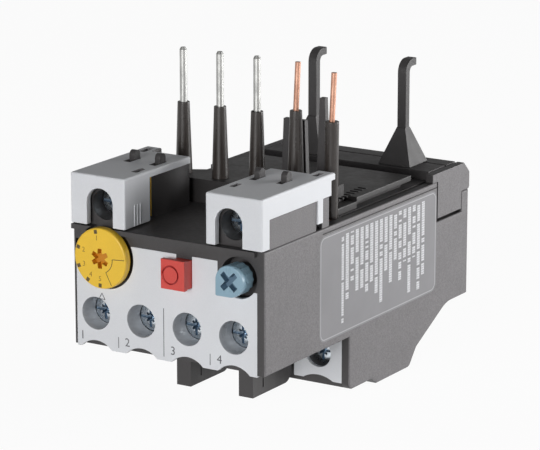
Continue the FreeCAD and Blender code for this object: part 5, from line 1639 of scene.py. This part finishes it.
@dataclass(frozen=True)
class Lamp:
    """A square soft lamp: its direction in degrees, its distance, side and power."""

    name: str
    azimuth: float
    elevation: float
    distance: float
    size: float
    power: float


SEEING_RAYS = ("Is Camera Ray", "Is Glossy Ray")
LAMPS = (
    Lamp("front", azimuth=6.0, elevation=5.0, distance=1.5, size=0.8, power=20.5),
    Lamp("side", azimuth=84.0, elevation=3.0, distance=1.5, size=0.4, power=2.8),
    Lamp("haze", azimuth=128.0, elevation=4.0, distance=0.5, size=0.32, power=3.0),
)


@dataclass
class Studio:
    """Floor, lamps, world and camera.

    Args:
        azimuth, elevation, distance: the camera's place as seen from its target, the angles in degrees.
        target: what camera and lamps look at.
        lens: the camera's focal length in millimetres.
        clip: nearest and farthest that the camera sees.
        floor_size, floor_colour, floor_roughness: the floor's side and finish.
        floor_glow: how far the floor glows white to the camera and to gloss.
        ambient: the world's strength as a light.
        gloss: the world's brightness in glossy reflections, between that strength and white.
    """

    azimuth: float = 32.0
    elevation: float = 14.37
    distance: float = 0.6191
    target: Point = (0.0, -1.70 * MM, 31.98 * MM)
    lens: float = 199.93
    clip: Flat = (0.05, 50.0)
    floor_size: float = 6.0
    floor_colour: Colour = (0.82, 0.82, 0.82)
    floor_roughness: float = 0.9
    floor_glow: float = 0.95
    ambient: float = 0.075
    gloss: float = 0.25

    def build(self) -> None:
        """Sets up the studio."""
        bpy.context.scene.view_settings.view_transform = "Standard"
        self.camera()
        self.floor()
        self.world()
        for lamp in LAMPS:
            data = bpy.data.lights.new(lamp.name, "AREA")
            data.size = lamp.size
            data.energy = lamp.power
            self.aim(linked(lamp.name, data), lamp.azimuth, lamp.elevation, lamp.distance)

    def aim(self, made: bpy.types.Object, azimuth: float, elevation: float, distance: float) -> None:
        """Places an object round the target and turns it to face the target.

        Args:
            made: the object.
            azimuth: its direction round the target, from the front towards the right, in degrees.
            elevation: its direction above the level, in degrees.
            distance: its distance from the target.
        """
        across, up = math.radians(azimuth), math.radians(elevation)
        back = Vector((math.sin(across) * math.cos(up), -math.cos(across) * math.cos(up), math.sin(up)))
        place = Matrix.Translation(Vector(self.target) + back * distance)
        made.matrix_world = place @ (-back).to_track_quat("-Z", "Y").to_matrix().to_4x4()

    def camera(self) -> None:
        """Makes the camera."""
        data = bpy.data.cameras.new("camera")
        data.lens = self.lens
        data.clip_start, data.clip_end = self.clip
        made = linked("camera", data)
        self.aim(made, self.azimuth, self.elevation, self.distance)
        bpy.context.scene.camera = made

    def floor(self) -> None:
        """Makes the pale floor, which the camera sees almost white but for the shadow."""
        half = self.floor_size / 2
        mesh = bpy.data.meshes.new("floor")
        mesh.from_pydata([(-half, -half, 0.0), (half, -half, 0.0), (half, half, 0.0), (-half, half, 0.0)], [],
                         [(0, 1, 2, 3)])
        made = linked("floor", mesh)
        shader = Shader("pale_floor")
        shader.dress(Base_Color=self.floor_colour, Roughness=self.floor_roughness)
        camera, glossy = (shader.node("ShaderNodeLightPath", {}, ray) for ray in SEEING_RAYS)
        glow = shader.node("ShaderNodeEmission", {"Color": (1.0, 1.0, 1.0), "Strength": 1.0})
        share = (camera + glossy) * self.floor_glow
        mix = shader.node("ShaderNodeMixShader", {0: share, 1: shader.surface.outputs[0], 2: glow})
        shader.feed(shader.output.inputs["Surface"], mix)
        mesh.materials.append(shader.material)

    def world(self) -> None:
        """Makes the world: white to the camera, dimmer to gloss and as a light."""
        world = bpy.data.worlds.new("studio")
        bpy.context.scene.world = world
        world.use_nodes = True
        tree = Tree(world.node_tree)
        camera, glossy = (tree.add("ShaderNodeLightPath", {}, ray) for ray in SEEING_RAYS)
        seen = tree.add("ShaderNodeMath", {0: glossy, 1: self.gloss, 2: camera}, operation="MULTIPLY_ADD")
        strength = tree.add("ShaderNodeMapRange", {0: seen, 3: self.ambient, 4: 1.0})
        background = tree.tree.nodes["Background"]
        tree.feed(background.inputs["Strength"], strength)
        tree.feed(background.inputs["Color"], (1.0, 1.0, 1.0))


def main() -> None:
    """Builds the looks."""
    logging.basicConfig(level=logging.INFO, format="%(name)s: %(message)s")
    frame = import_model()
    bench = Bench(frame)
    Studio().build()
    for assembly in (Housing, FrontPanel, TerminalCaps, SettingDial, TestButton, ResetKnob, Conductors,
                     Screws, Mechanism):
        assembly(bench).build()


if __name__ == "__main__":
    main()
